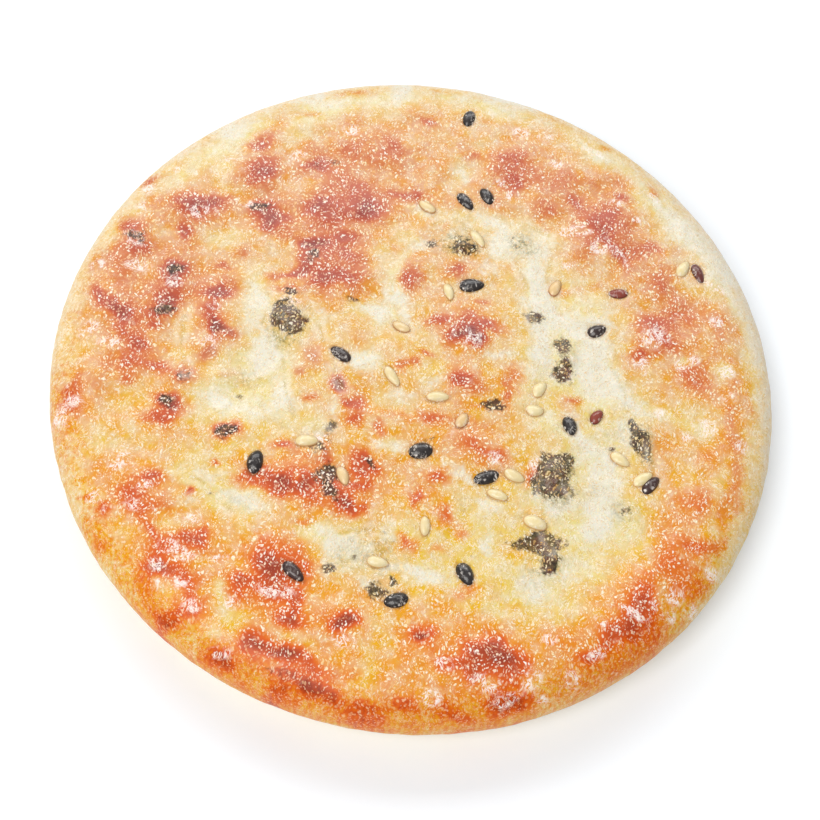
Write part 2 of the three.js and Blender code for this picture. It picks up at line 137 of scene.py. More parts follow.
# Toasted marks: x, y, half length, half width, turn, step
TOASTED_MARKS = [
    # middle
    (-13.5, 13, 5.5, 4.5, 20, 0.34), (-15.5, 11, 2, 1.6, 0, 0.14), (-11, 15, 2, 1.6, 0, 0.12),
    (6.5, 5.8, 3.2, 2.6, 10, 0.50), (6.5, 5.6, 1.8, 1.4, 0, 0.20), (2.5, 7.6, 1.8, 1, 30, 0.30),
    (10, 7.5, 1.8, 1, -20, 0.28), (-2.7, 14, 2.8, 1.8, 80, 0.34), (3, 16, 2.2, 1.5, 40, 0.30),
    (8.5, 11.5, 1.2, 1, 0, 0.24), (7, -2, 2.8, 1.9, 0, 0.36), (12.8, -3.5, 1.1, 0.9, 0, 0.30),
    (-15, -1, 2, 1.4, 80, 0.34), (-16.5, -4, 1, 0.8, 0, 0.36), (-14.5, -8, 1.6, 0.8, 0, 0.26),
    (-10.2, -5.2, 1.6, 1.3, 0, 0.46), (-8, -8, 1.6, 1, -50, 0.30), (-7.5, -11, 1.4, 0.9, 80, 0.28),
    (-4, -11.5, 1.2, 1, 0, 0.28), (3, -8.5, 2.4, 1.6, 0, 0.28), (11, -12.2, 4.5, 2.3, -8, 0.22),
    (13.3, -12.5, 1.4, 1, 0, 0.16), (-16.5, -16.3, 1.2, 0.8, 0, 0.30), (5.5, -17, 2.4, 0.9, 10, 0.22),
    (-1.8, -0.8, 1.3, 1, 0, 0.28), (0.5, 1.3, 1.1, 0.8, 0, 0.28), (18, -14.5, 1.2, 1.6, 0, 0.44),
    (14.5, 0.8, 1.8, 1.4, 0, 0.26), (13, -1.2, 1.6, 1.2, 0, 0.26), (22, -2.3, 1.6, 1, 10, 0.34),
    # upper left
    (-14, 24, 6, 4.6, -10, 0.36), (-17, 25.5, 2, 1.6, 0, 0.14), (-11, 24, 2, 1.6, 0, 0.14),
    (-16.5, 21.5, 2.2, 1.4, 0, 0.12), (-11, 36, 5, 2.8, 5, 0.24), (-8, 33, 2.4, 1.6, 0, 0.22),
    (-5.5, 28.3, 3, 1.3, 5, 0.28), (-4.5, 42.5, 1.3, 0.9, 0, 0.24), (-19.3, 31.3, 2.2, 1.8, 60, 0.34),
    (-28, 28.4, 3.2, 2.6, 30, 0.36), (-29, 33, 1.7, 1.5, 0, 0.34), (-27.5, 35.2, 2, 2, 0, 0.30),
    (-26.5, 38.5, 2.2, 1.8, 60, 0.24), (-22, 40.8, 1.6, 0.8, 20, 0.26), (-36, 21.2, 3.4, 2.1, -10, 0.36),
    (-37.3, 34.2, 1, 0.6, 20, 0.20), (-24.5, 21, 2.6, 1.5, -10, 0.26), (-25, 19.3, 1.8, 1.2, 0, 0.26),
    (-19, 24.2, 2, 2.6, 0, 0.24), (-43.5, 25, 1.8, 1.6, 0, 0.32), (-42.5, 20.8, 2.2, 1.8, 0, 0.22),
    (-20, 34.2, 2, 1.2, 0, 0.20), (-32.5, 22.8, 2.5, 1.3, 15, 0.20), (-23, 27, 3, 3, 0, 0.16),
    # upper right
    (3, 38, 1.4, 1.1, 0, 0.24), (9.5, 37, 3.8, 2.6, 0, 0.30), (9.5, 33.6, 2.2, 1.8, 0, 0.24),
    (16, 35, 3.6, 2.4, 0, 0.24), (15, 29, 2.6, 2.4, 0, 0.28), (24, 28, 4.6, 3.6, 50, 0.34),
    (24, 27.8, 1.8, 2.4, 0, 0.14), (24.5, 31, 2, 1.4, 0, 0.12), (26.5, 34, 1.2, 0.8, 0, 0.28),
    (26.3, 24.5, 3.4, 1.4, -50, 0.30), (30, 25, 2.2, 1.6, 0, 0.22), (32, 26, 1.6, 1.2, 0, 0.18),
    (34, 21, 2.6, 2.6, 0, 0.26), (26, 37, 3, 1.6, -20, 0.22), (31, 36.5, 1.2, 1, 0, 0.30),
    (22.5, 43.6, 1.6, 0.8, 0, 0.20), (20, 31.5, 2, 1.8, 0, 0.24), (20, 22, 3, 2, 0, 0.16),
    # right
    (33, 11, 3.2, 3.2, 0, 0.34), (31.2, 7, 1.8, 1.5, 0, 0.30), (39, 5.5, 3, 2.4, 0, 0.18),
    (41, 14, 3.6, 2.8, 0, 0.18), (36, 16, 3, 2.4, 0, 0.14), (45.5, 2, 12, 1.1, 92, 0.14),
    (41, -14.5, 2.8, 2.8, 0, 0.28), (42, -8, 2, 2, 0, 0.12), (41.5, -20, 2.6, 1.8, 0, 0.14),
    (39, -24.5, 2.8, 1.6, 0, 0.08), (35.5, -28.8, 2.4, 1.8, 60, 0.12), (35, -32, 2.6, 2.4, 0, 0.24),
    (32.5, -34.8, 3, 1.8, 20, 0.14), (30.8, -36.6, 1.6, 1, 20, 0.12), (35, -35.5, 1.6, 1, 20, 0.16),
    (28.5, -39, 2, 1, 40, 0.26), (44.5, -26, 2, 1.2, 60, 0.02),
    # lower left
    (-12, -21.6, 6.2, 2.6, -8, 0.36), (-16, -21.5, 2, 1.3, 0, 0.20), (-6, -24, 1.8, 1.2, 0, 0.20),
    (-5.5, -20, 1.4, 1.1, 0, 0.20), (-12, -26.7, 1.6, 0.8, 0, 0.24), (2.6, -20.6, 1.8, 0.8, -60, 0.30),
    (6.5, -23, 1.6, 1.2, 0, 0.28), (9, -25.3, 1.3, 0.9, 0, 0.24), (1.8, -27.5, 1.5, 1.2, 0, 0.26),
    (6.3, -27.5, 1.3, 1, 0, 0.22), (-14.5, -31.5, 3.6, 3.2, 0, 0.32), (-14, -37, 3.4, 1.6, -5, 0.28),
    (-11.5, -40.5, 2, 1.4, 0, 0.30), (-4, -40, 2.2, 1.8, 0, 0.28), (6, -39, 2.2, 1.8, 0, 0.26),
    (11.5, -33, 2, 1, 0, 0.22), (14, -41.5, 3.6, 2.6, 0, 0.30), (10, -43, 2, 1, 0, 0.20),
    (-15.5, -44.5, 2.4, 1.3, -15, 0.34), (-11.5, -45.5, 2, 1, 0, 0.36), (-11, -48, 1.8, 1, 0, 0.30),
    (-8, -49, 1.6, 0.8, 0, 0.28), (-12, -50, 1.4, 0.7, 0, 0.34), (0, -51, 3, 0.9, 0, 0.34),
    (-34.5, -27, 4, 3, -20, 0.34), (-33.8, -23.6, 2.2, 1.4, 0, 0.26), (-28, -33, 4.4, 2.2, -5, 0.40),
    (-26, -31, 2, 1.4, 60, 0.22), (-30, -36.2, 2.2, 1.5, -10, 0.38), (-26, -37, 2.6, 1.2, -10, 0.24),
    (-24.8, -41.2, 2, 1.5, 0, 0.28), (-25.2, -39, 1.2, 1, 0, 0.24), (-28, -42.9, 1.8, 0.9, -15, 0.32),
    (-19.6, -46.7, 2.6, 1.5, -20, 0.46), (-19, -38.5, 1.8, 1.5, 0, 0.40), (-20, -36, 3.4, 1.3, 0, 0.24),
    (-41.5, -26.8, 1.4, 0.7, 30, 0.26), (-38.6, -29.3, 1.4, 0.7, -60, 0.24),
    (-38.3, -34, 1.4, 0.7, -40, 0.24), (-32, -31.3, 1.6, 0.8, -50, 0.24), (19.6, -41.5, 2.6, 1.9, 0, 0.28),
    (18.8, -46.8, 2.6, 1.6, 10, 0.40), (-20, -21.5, 2.4, 1.6, 0, 0.46), (-28, -24.4, 0.9, 0.8, 0, 0.50),
    (-25.4, -19.6, 0.9, 0.5, -10, 0.42),
    # left
    (-44, 15.8, 2.2, 1.6, -30, 0.34), (-42, 17, 2.4, 1.6, 0, 0.20), (-36.5, 16.6, 1.6, 1.4, 0, 0.32),
    (-42.5, 12, 2.6, 2, -40, 0.18), (-36.7, 9.2, 2.4, 1.8, 0, 0.36), (-36.6, 6, 1.8, 2.2, 0, 0.22),
    (-36.7, 2.8, 2.6, 2.2, 0, 0.32), (-45.6, 2.9, 2.6, 1.3, -30, 0.34), (-42.5, 1, 1.6, 1.4, 0, 0.26),
    (-37, -0.3, 1.3, 1, 0, 0.24), (-40, -2.4, 2.8, 2, -30, 0.22), (-39.4, -3.8, 1.3, 0.9, 0, 0.16),
    (-41, -7, 3.4, 1.6, 5, 0.16), (-39.4, -9, 1.8, 0.8, 10, 0.24), (-36, -7.1, 1.8, 1, 0, 0.26),
    (-32.3, -7.4, 2.2, 1.8, 40, 0.44), (-34, -11.8, 1.6, 1.4, 0, 0.44), (-32.4, -12.6, 2.2, 1.6, 0, 0.26),
    (-33.6, -14.8, 2, 1.4, 0, 0.22), (-24.8, -15, 2.2, 1.4, 10, 0.52), (-30, 6.6, 3.2, 1.3, 10, 0.36),
    (-29.6, 1.3, 1.8, 1.2, -30, 0.40), (-27.4, 0.6, 1.8, 1, 0, 0.36), (-29, -3.9, 1.6, 1, 20, 0.34),
    (-28.5, -1.2, 3.2, 3, 0, 0.22), (-30.5, 3.6, 1.8, 1.4, 0, 0.26), (-28.6, 13.8, 1.4, 1, 0, 0.18),
    (-26.4, -6.6, 1.8, 0.6, 15, 0.34), (-46.8, -11, 1.4, 2.6, 0, 0.24), (-46.3, -14.2, 1.5, 2, 0, 0.16),
    (-30, 11, 1, 0.7, 0, 0.22), (-21.8, 11.2, 2.4, 0.9, 15, 0.30), (-20, 9.4, 2.4, 1.2, 0, 0.22),
    (-19, 13, 1.6, 2.6, 0, 0.30),
    # marks between the larger ones
    (-17.5, 17, 2.4, 1.2, 10, 0.26), (-22, 18, 3, 1.4, 0, 0.12), (-16, -3, 2, 3.6, 20, 0.14),
    (-9.3, -5.6, 1.2, 0.9, -20, 0.24), (-24, -6.4, 2.6, 1.1, 10, 0.16), (-5, -17, 2.4, 1.6, 0, 0.36),
    (-10.6, -15.8, 1, 2.4, 10, 0.3), (-6, -23.3, 2, 1.2, -40, 0.24), (2, -26.6, 1.6, 1.1, 0, 0.18),
    (-16, -23.2, 2.2, 0.9, 0, 0.2), (-13, -34, 4, 2.2, 0, 0.26), (16, -41, 3, 2.4, 0, 0.26),
    (-8, -46, 5, 1.6, -20, 0.26), (-6, -49.4, 4, 1.2, 0, 0.3), (5.5, -49.4, 2, 1.1, 0, 0.26),
    (13, -49.6, 3, 1, 10, 0.2), (-27.5, -42.3, 2, 0.9, -30, 0.16), (8.5, 29, 3.6, 1.5, -32, 0.18),
    (2, 28, 2, 1.4, 0, 0.1), (12, 23.5, 1.6, 2, 0, 0.1), (20, 16.2, 2.6, 1.2, 0, 0.16),
    (22, -5, 2.6, 1.8, -10, 0.22), (20, -25, 4.4, 2.6, 10, 0.22), (8, -24, 2.6, 1.4, 0, 0.14),
    (5, -18, 2, 0.9, 0, 0.14), (34.5, -29, 2, 2.2, 30, 0.16), (33, -35, 3, 1.4, 30, 0.1),
    (7, -8, 2, 1.6, 0, 0.1), (11, -5, 2, 1, 0, 0.14),
    # round the rim
    (-36, 33, 2, 1.6, 0, 0.24), (-40, 27, 4.5, 1.7, 52, 0.22), (-46.5, 10.5, 2.6, 2.4, 0, 0.18),
    (-46, 16, 1.6, 4.5, -10, 0.12), (-15.5, 46.2, 4, 1.8, 5, 0.14), (-25, 41, 3, 1.4, 10, 0.14),
    (-29.5, 38.5, 2, 1.4, 0, 0.14), (-16, 40.5, 2.4, 1.2, 0, 0.14), (-3, 49.3, 3, 1, 0, 0.2),
    (13, 47, 3.4, 1.8, 0, 0.22), (18, 44, 6, 1.6, -18, 0.14), (27.5, 40, 3.4, 2, -40, 0.16),
    (34, 34.6, 1.6, 1, 0, 0.14), (39, 29.5, 4.5, 1.4, 120, 0.16), (37, 27, 2.6, 1.3, 15, 0.16),
    (38.8, 23.4, 1.3, 2, 10, 0.18), (42.5, 19, 1.6, 2.6, 0, 0.14), (48, 3, 1.6, 4.5, 0, 0.14),
    (46, -13.5, 1.7, 6, -8, 0.24), (43, -20.5, 3.4, 1.5, 15, 0.2), (41.5, -27, 1.8, 1.2, 0, 0.12),
    (-30.5, -39.6, 2.8, 1.3, -38, 0.2), (-27, -42, 1.8, 1, -30, 0.18), (25.5, -36.5, 4, 2.4, 20, 0.12),
    # smaller marks, upper half
    (-27, 22.4, 2.2, 2.2, 0, 0.14), (-21, 19.5, 6, 2.2, -35, 0.1), (-18, 16.6, 2.2, 1.6, 0, 0.16),
    (-12.5, 18.5, 2.2, 1.3, 0, 0.14), (-6, 17, 0.9, 2, 0, 0.12), (0, 29.5, 3.4, 2.6, 0, 0.1),
    (-1, 33.5, 1.6, 2.6, 0, 0.08), (0.5, 23.2, 1.3, 1.4, 0, 0.1), (18, 16.2, 1.4, 1.2, 0, 0.14),
    (24, 17.4, 2.6, 1, 8, 0.1), (-41, 0.4, 1.2, 1, 0, 0.1), (-32, 2, 0.8, 1.8, 0, 0.12),
    (-28.5, 5.6, 1.4, 0.9, 0, 0.12), (-39.5, 7, 1.8, 1, 0, 0.14), (15, -2.5, 2, 1, 0, 0.14),
    (21, -2.5, 3.4, 1.6, 0, 0.12), (-13.5, -2.5, 1.4, 1.8, 0, 0.12), (-24.5, -1.6, 1, 1, 0, 0.16),
    # smaller marks, lower half
    (8, -5.4, 2.6, 1, 0, 0.12), (-9, -5.6, 1, 0.8, 0, 0.14), (-14, -8.4, 1.2, 0.8, -30, 0.12),
    (-43.5, -10.5, 2.8, 2, -20, 0.15), (-36, -15, 3.6, 1.5, 0, 0.15), (-30, -16, 2.6, 1.2, 0, 0.1),
    (-40, -23, 3, 2, 50, 0.14), (-33, -22.4, 3.6, 1.1, -15, 0.14), (-22, -18.8, 1.8, 1.2, 0, 0.14),
    (-15, -16.8, 4.5, 0.8, 0, 0.12), (-25, -32.6, 1.2, 1, 0, 0.14), (-35.5, -30.6, 2.6, 1.1, 0, 0.1),
    (-23, -39.7, 1.8, 0.8, 0, 0.12), (-17, -29.6, 1.2, 1, 0, 0.16), (-16.5, -33.6, 2.4, 1.8, -30, 0.2),
    (-19, -36, 1.8, 1, 0, 0.16), (-11, -38, 1, 2.2, 0, 0.16), (-4.4, -40, 1.8, 0.9, 10, 0.2),
    (6.2, -39.8, 0.9, 0.8, 0, 0.24), (8.5, -41.2, 1.8, 0.8, -20, 0.12), (13, -44, 1.6, 1.2, 0, 0.2),
    (18, -44, 1.6, 1, 0, 0.14), (2.4, -26.6, 1.4, 1, 0, 0.1), (-3, -27.2, 1.4, 2.2, 20, 0.12),
    (20, -20.6, 2.4, 1, 0, 0.16), (6, -18, 1.3, 0.9, 0, 0.1), (-1, -9.6, 3.4, 0.8, 0, 0.1),
]

# Paler marks among them
PALE_MARKS = [
    (-20.5, 27, 5.5, 2.8, -15, -0.34), (-30, 25.5, 4, 2.2, -40, -0.2), (-13.5, 21.5, 3.4, 1.4, -5, -0.24),
    (-32, 23, 2, 1.6, 0, -0.1), (-38, 22.5, 2, 1.4, 0, -0.1), (-31, 16, 3, 2.4, -30, -0.2),
    (-35, 3, 1.4, 1.6, 0, -0.22), (-38.8, 3.5, 1.4, 1.4, 0, -0.16), (-39, 8, 3, 1.6, -40, -0.16),
    (-42, 10.5, 2.4, 1.4, 0, -0.14), (-30, 0, 1.2, 3, 0, -0.22), (-39.5, -2.5, 2.6, 1.8, 0, -0.18),
    (-30.5, 11, 2.4, 1.6, 0, -0.12), (-42, 16, 3, 1.6, 20, -0.18), (-44.5, 3, 2, 1.8, 0, -0.1),
    (-8, 33, 2.6, 2, 0, -0.2), (-12, 36, 2.4, 2, 40, -0.18), (-19.5, 33.5, 1.8, 1.6, 0, -0.14),
    (-8.5, 16, 3, 3, 0, -0.22), (-12.5, 13.8, 2.4, 1.4, 0, -0.18), (-5, 13, 1.4, 4.5, 0, -0.2),
    (-4.5, 20.5, 1.8, 2.4, 30, -0.2), (-7, 7, 3, 1.2, 0, -0.1), (-19, 10.6, 3.4, 1.1, 10, -0.2),
    (15, 35.5, 5, 2.4, -25, -0.2), (24.6, 27, 2, 2.6, 0, -0.26), (23, 31.5, 4, 2, -40, -0.12),
    (9, 35.5, 1.8, 1.8, 0, -0.12), (27, 24.5, 2, 1, -45, -0.14), (15, 14.5, 4, 1.2, -62, -0.18),
    (9, 21.5, 1.2, 1.6, 0, -0.18), (36, 21, 1.8, 1.6, 0, -0.18), (32.5, 21.5, 2, 1.4, 0, -0.12),
    (40.5, 13, 1.8, 2.8, 0, -0.22), (32.5, 10, 1.4, 1.8, 0, -0.14), (38, 7, 1.6, 1.4, 0, -0.22),
    (43.6, 7, 1.8, 1.6, 0, -0.22), (27, 3.5, 1.6, 2, 0, -0.12), (39, -2.5, 3.6, 1.2, -10, -0.12),
    (28, -21, 2.2, 1.8, 0, -0.16), (33, -19.5, 1.4, 2.4, 0, -0.1), (-34, -25.6, 2.2, 2, 0, -0.2),
    (-30, -31, 2.6, 3, 0, -0.24), (-26, -33.5, 2.6, 1.8, -20, -0.24), (-42, -27.5, 2.4, 2.4, 0, -0.18),
    (-38, -16, 2.6, 1.6, -40, -0.14), (-29, -22, 3, 1.4, 0, -0.12), (-20.5, -37.5, 3.4, 1.6, -48, -0.24),
    (-17.5, -41.5, 5, 2.4, -20, -0.2), (-9, -29, 3.6, 1.6, 5, -0.22), (-36, -30, 2, 2, 0, -0.1),
    (0, -44, 2.4, 7, 0, -0.14), (22, -43.5, 3, 2, 20, -0.14), (-12, -42.3, 3, 1.2, -10, -0.18),
    (-21.2, -2, 1.4, 2.2, 40, -0.2), (-24, 6, 1.2, 3, 20, -0.12), (-7, -1.5, 2.2, 1.1, 0, -0.14),
    (-10, 6, 3, 1.6, 0, -0.12), (3, 12.5, 1, 1.4, 0, -0.12), (2.5, 3, 1.1, 1.8, 0, -0.12),
    (3, -2, 2.6, 2.2, 0, -0.12), (10, 5, 1.4, 2.6, 0, -0.14), (16.5, 6.5, 0.9, 1.8, 0, -0.12),
    (9, 21, 2.8, 1.2, -35, -0.16), (14.4, 17.5, 2.6, 1.4, -60, -0.16), (19, 11.2, 2.8, 1, -20, -0.14),
    (24.5, 7, 1.2, 1.2, 0, -0.14), (28, 3.4, 0.9, 1.2, 0, -0.14), (34, -1.5, 2.6, 0.9, 0, -0.12),
    (15.6, 25, 1.1, 1.8, 0, -0.14), (21, 26.8, 2.8, 0.9, 0, -0.1), (-3.5, 26, 1.5, 1.6, 0, -0.16),
    (-10, 43, 2, 1.8, 0, -0.14), (-7, 38, 2, 1.4, 0, -0.14), (-22, 37, 1, 2.2, 0, -0.16),
    (2.5, 33.6, 1.2, 1.6, 0, -0.12), (6.5, 37, 1.4, 1, 0, -0.1), (-2, -13.5, 2, 1.3, -20, -0.16),
    (11.5, -11, 4, 1.3, -20, -0.14), (-12, -11.5, 1.6, 1.2, 0, -0.12), (-9.6, -9, 1.4, 1.1, 0, -0.12),
    (-13.6, -20.5, 1, 1.3, 0, -0.24), (-9.5, -22.2, 0.9, 1.2, 0, -0.2), (-10, -28, 3.6, 2.2, 0, -0.14),
    (5, -31, 2.2, 1.2, 0, -0.12), (14, -35, 3.6, 1.4, -10, -0.12), (21.5, -32, 1.1, 1.4, 0, -0.14),
    (28, -27.5, 1.2, 1.1, 0, -0.14), (27, -19.5, 1.3, 3, 0, -0.1), (17.4, -33, 0.9, 1, 0, -0.12),
    (-28, -34.5, 1.5, 1, 0, -0.14), (-21.5, -44, 1.4, 1, 0, -0.14), (-8.5, -43.6, 1.6, 0.9, 0, -0.12),
    (-5, -37.5, 1.6, 1, 0, -0.1), (3, -38, 2.6, 1, 0, -0.1), (-2, -48.6, 1.6, 1, 0, -0.12),
    (9, -48.5, 1, 1, 0, -0.14), (16, -45.5, 1.4, 1, 0, -0.12), (37.5, 7, 1.2, 1, 0, -0.12),
    (44, 6, 1.1, 1.4, 0, -0.12), (48.5, 11, 0.9, 2, 0, -0.14), (32.5, 10.5, 1.1, 1.5, 30, -0.1),
]

# Thin, steamed skin, whiter and greyer than the rest: x, y, half length, half width, turn, strength
THIN_SKIN = [
    (-22, -3.5, 8, 3.4, 25, 0.9), (-26.5, -10, 4, 2.6, 0, 0.9), (-25, 6, 2, 5, 0, 0.6),
    (9, 25.3, 5.5, 2.2, -5, 0.8), (21, 11, 5, 2.4, -40, 0.8), (17.5, 4, 2, 5, 0, 0.7),
    (26, 1.5, 4, 3.4, 0, 0.8), (31, -1, 4, 1.6, -30, 0.7), (25, -8, 3, 2.4, 0, 0.8),
    (22, -18.5, 2.4, 3, 0, 0.8), (22, -31, 4, 3.4, 0, 0.7), (24, -26.5, 2.4, 1.6, 0, 0.7),
    (-21, -25, 4.5, 1.8, -15, 0.9), (-4, -31, 5, 2, 0, 0.7), (2.5, 34, 3, 1.6, 50, 0.6),
    (-8, -0.8, 3.4, 1.4, -10, 0.8), (-15, -12, 4, 1.6, 0, 0.7), (-3, -6.5, 3.4, 1.6, 0, 0.6),
    (-33, 35, 4, 2.6, 45, 0.6), (37, 28, 3, 4, 30, 0.5), (27, -20, 5, 3, 0, 0.5),
]

# Dark things under the skin, charred sesame and brown filling: x, y, half length, half width, turn, strength
DARK_PATCHES = [
    # seeds the dough closed over
    (-26.5, 22.2, 1.8, 0.8, 10, 0.75), (-43.4, 14.1, 1.8, 1.3, -20, 0.7), (-36.7, 9.3, 1.5, 1.1, 10, 0.8),
    (-36.8, 2.7, 1.6, 1.2, 10, 0.85), (-19.2, 8.5, 1.3, 0.8, -10, 0.95), (-32.2, -7.5, 1.5, 1.2, 40, 0.6),
    (-34, -11.7, 1.3, 1.1, -60, 0.75), (-24.8, -15.1, 1.8, 1, 15, 0.95), (-35, 20.2, 1.8, 1.3, 20, 0.3),
    (-19.4, 30.6, 1.1, 1.6, 60, 0.35), (-17, 31.9, 1.3, 1, 0, 0.45), (-1, 20, 1.3, 1, 10, 0.7),
    (-10.9, 8.4, 1.1, 0.8, 0, 0.6), (11.2, -5, 1.7, 1.1, 0, 0.85), (-17.6, 15, 1.3, 1, 70, 0.7),
    (-9.9, -19.3, 1.5, 2, -35, 1), (-8.8, -22.1, 1.5, 1, -30, 0.9), (3.4, -12.2, 1.2, 0.5, 20, 0.4),
    (-4.2, -16.6, 1.3, 0.8, -50, 0.7), (-7.5, -32.6, 1, 0.8, 0, 1.1), (6.2, -39.8, 0.7, 0.6, 0, 0.4),
    (-12.1, -47.8, 1.4, 0.6, 0, 0.4), (-23.6, -9.1, 0.6, 0.5, 0, 0.7), (-25.1, -24.5, 0.6, 0.5, 0, 0.5),
    # filling
    (19.6, -14.8, 1.6, 1.6, 0, 0.8), (21.6, -15.6, 1.9, 1.1, 0, 0.8), (21, -11.6, 2.4, 0.9, 10, 0.6),
    (-20.8, 5.2, 1.3, 1.1, 0, 1), (-19, 4, 1.9, 1.6, 20, 1.1), (-18, 2.8, 1.6, 1.2, -10, 1),
    (-20.9, 3.6, 0.9, 0.8, 0, 0.7), (-19.6, 6.6, 1.6, 0.8, 0, 0.45), (4.6, 19.9, 1.7, 1, 10, 0.8),
    (3.2, 21.2, 1.7, 1.1, 40, 0.55), (11, 23, 0.6, 1.1, 20, 0.35), (11.9, 21.3, 0.9, 0.6, -50, 0.35),
    (20.2, 6.6, 1.3, 1.5, 0, 1.0), (20.7, 2.8, 1.9, 1.7, 80, 1.0), (19.8, 1.2, 1.3, 1.1, 0, 0.5),
    (21.2, -13.4, 2.4, 2.2, -10, 1.15), (22.8, -11.8, 0.9, 1.2, 0, 0.9), (19.4, -13, 1.1, 1.9, 0, 0.55),
    (20.2, -16.6, 2.1, 1.1, 0, 0.6), (32.5, -6.8, 2.6, 1.4, -62, 1.2), (31.3, -4, 1.1, 0.5, -65, 0.7),
    (28.6, -8.5, 0.8, 0.5, 30, 0.7), (20.9, -24.6, 2.2, 1.2, 5, 1.2), (18.4, -24.6, 2.2, 0.9, 8, 1),
    (20.6, -22.9, 2.5, 0.8, 0, 0.5), (21.8, -27.1, 1.4, 1.4, 0, 0.95), (22.3, -25.9, 0.8, 0.8, 0, 0.7),
    (24, -23.7, 0.7, 0.4, -30, 0.6), (-10.5, -12.3, 0.9, 1.4, -15, 0.7), (-11.8, -15.2, 1.4, 1, 10, 0.8),
    (15.3, 10.3, 1.4, 1.2, 0, 1.1), (16, 10.8, 1, 0.7, 0, 0.5), (-1, -35, 1.6, 1.3, 0, 0.9),
    (1.6, -33.2, 0.9, 1, 0, 0.6), (-1.4, -26.6, 1.6, 0.4, -20, 0.45), (-4.5, -30.6, 0.6, 1.1, 30, 0.3),
    (31.1, -17.4, 1, 0.8, 0, 0.55), (24.2, -16.3, 1.1, 0.7, -40, 0.3), (11.3, -28, 0.7, 0.4, 0, 0.5),
]

# Green and olive tints of the filling: x, y, half length, half width, turn, strength
HERB_PATCHES = [
    (-19.4, 3.6, 3.2, 2.6, 80, 0.7), (-19.5, 0.6, 2.6, 1.3, 0, 0.5), (3.4, 21, 3.2, 2, 10, 0.95),
    (12.2, 22.4, 2.6, 2, -10, 0.8), (20.6, 4.4, 2, 3.2, 0, 0.4), (21.4, -14.4, 3, 2.8, 0, 0.6),
    (20.6, -17, 3, 1.2, 0, 0.5), (32.6, -6.6, 3.2, 2, -62, 0.6), (21.6, -26.6, 2.4, 2, 0, 0.6),
    (19.8, -24, 3.4, 1.6, 0, 0.3), (-2.6, -28.6, 3.6, 2.4, -10, 0.45), (-1, -34.6, 2.4, 1.5, 0, 0.6),
    (-5.5, -30.8, 2, 1.4, 0, 0.4), (-11.2, -14.4, 1.6, 2.4, 0, 0.4), (15.6, 10.5, 1.8, 1.4, 0, 0.5),
    (31.1, -17.4, 1.9, 1.3, 0, 0.5), (-23, -6, 2.6, 1.3, 0, 0.3), (27, -14.5, 2, 1.4, 0, 0.25),
    (23.8, -16, 1.6, 1.2, 0, 0.45), (-21, -25.2, 3, 1, -15, 0.2), (28.4, -6.5, 2, 1.6, 0, 0.2),
    (0.6, -31.5, 2, 1.2, 0, 0.25), (9.4, -21, 1.6, 1, 0, 0.2), (20.4, -30, 2.4, 1.2, 0, 0.2),
]

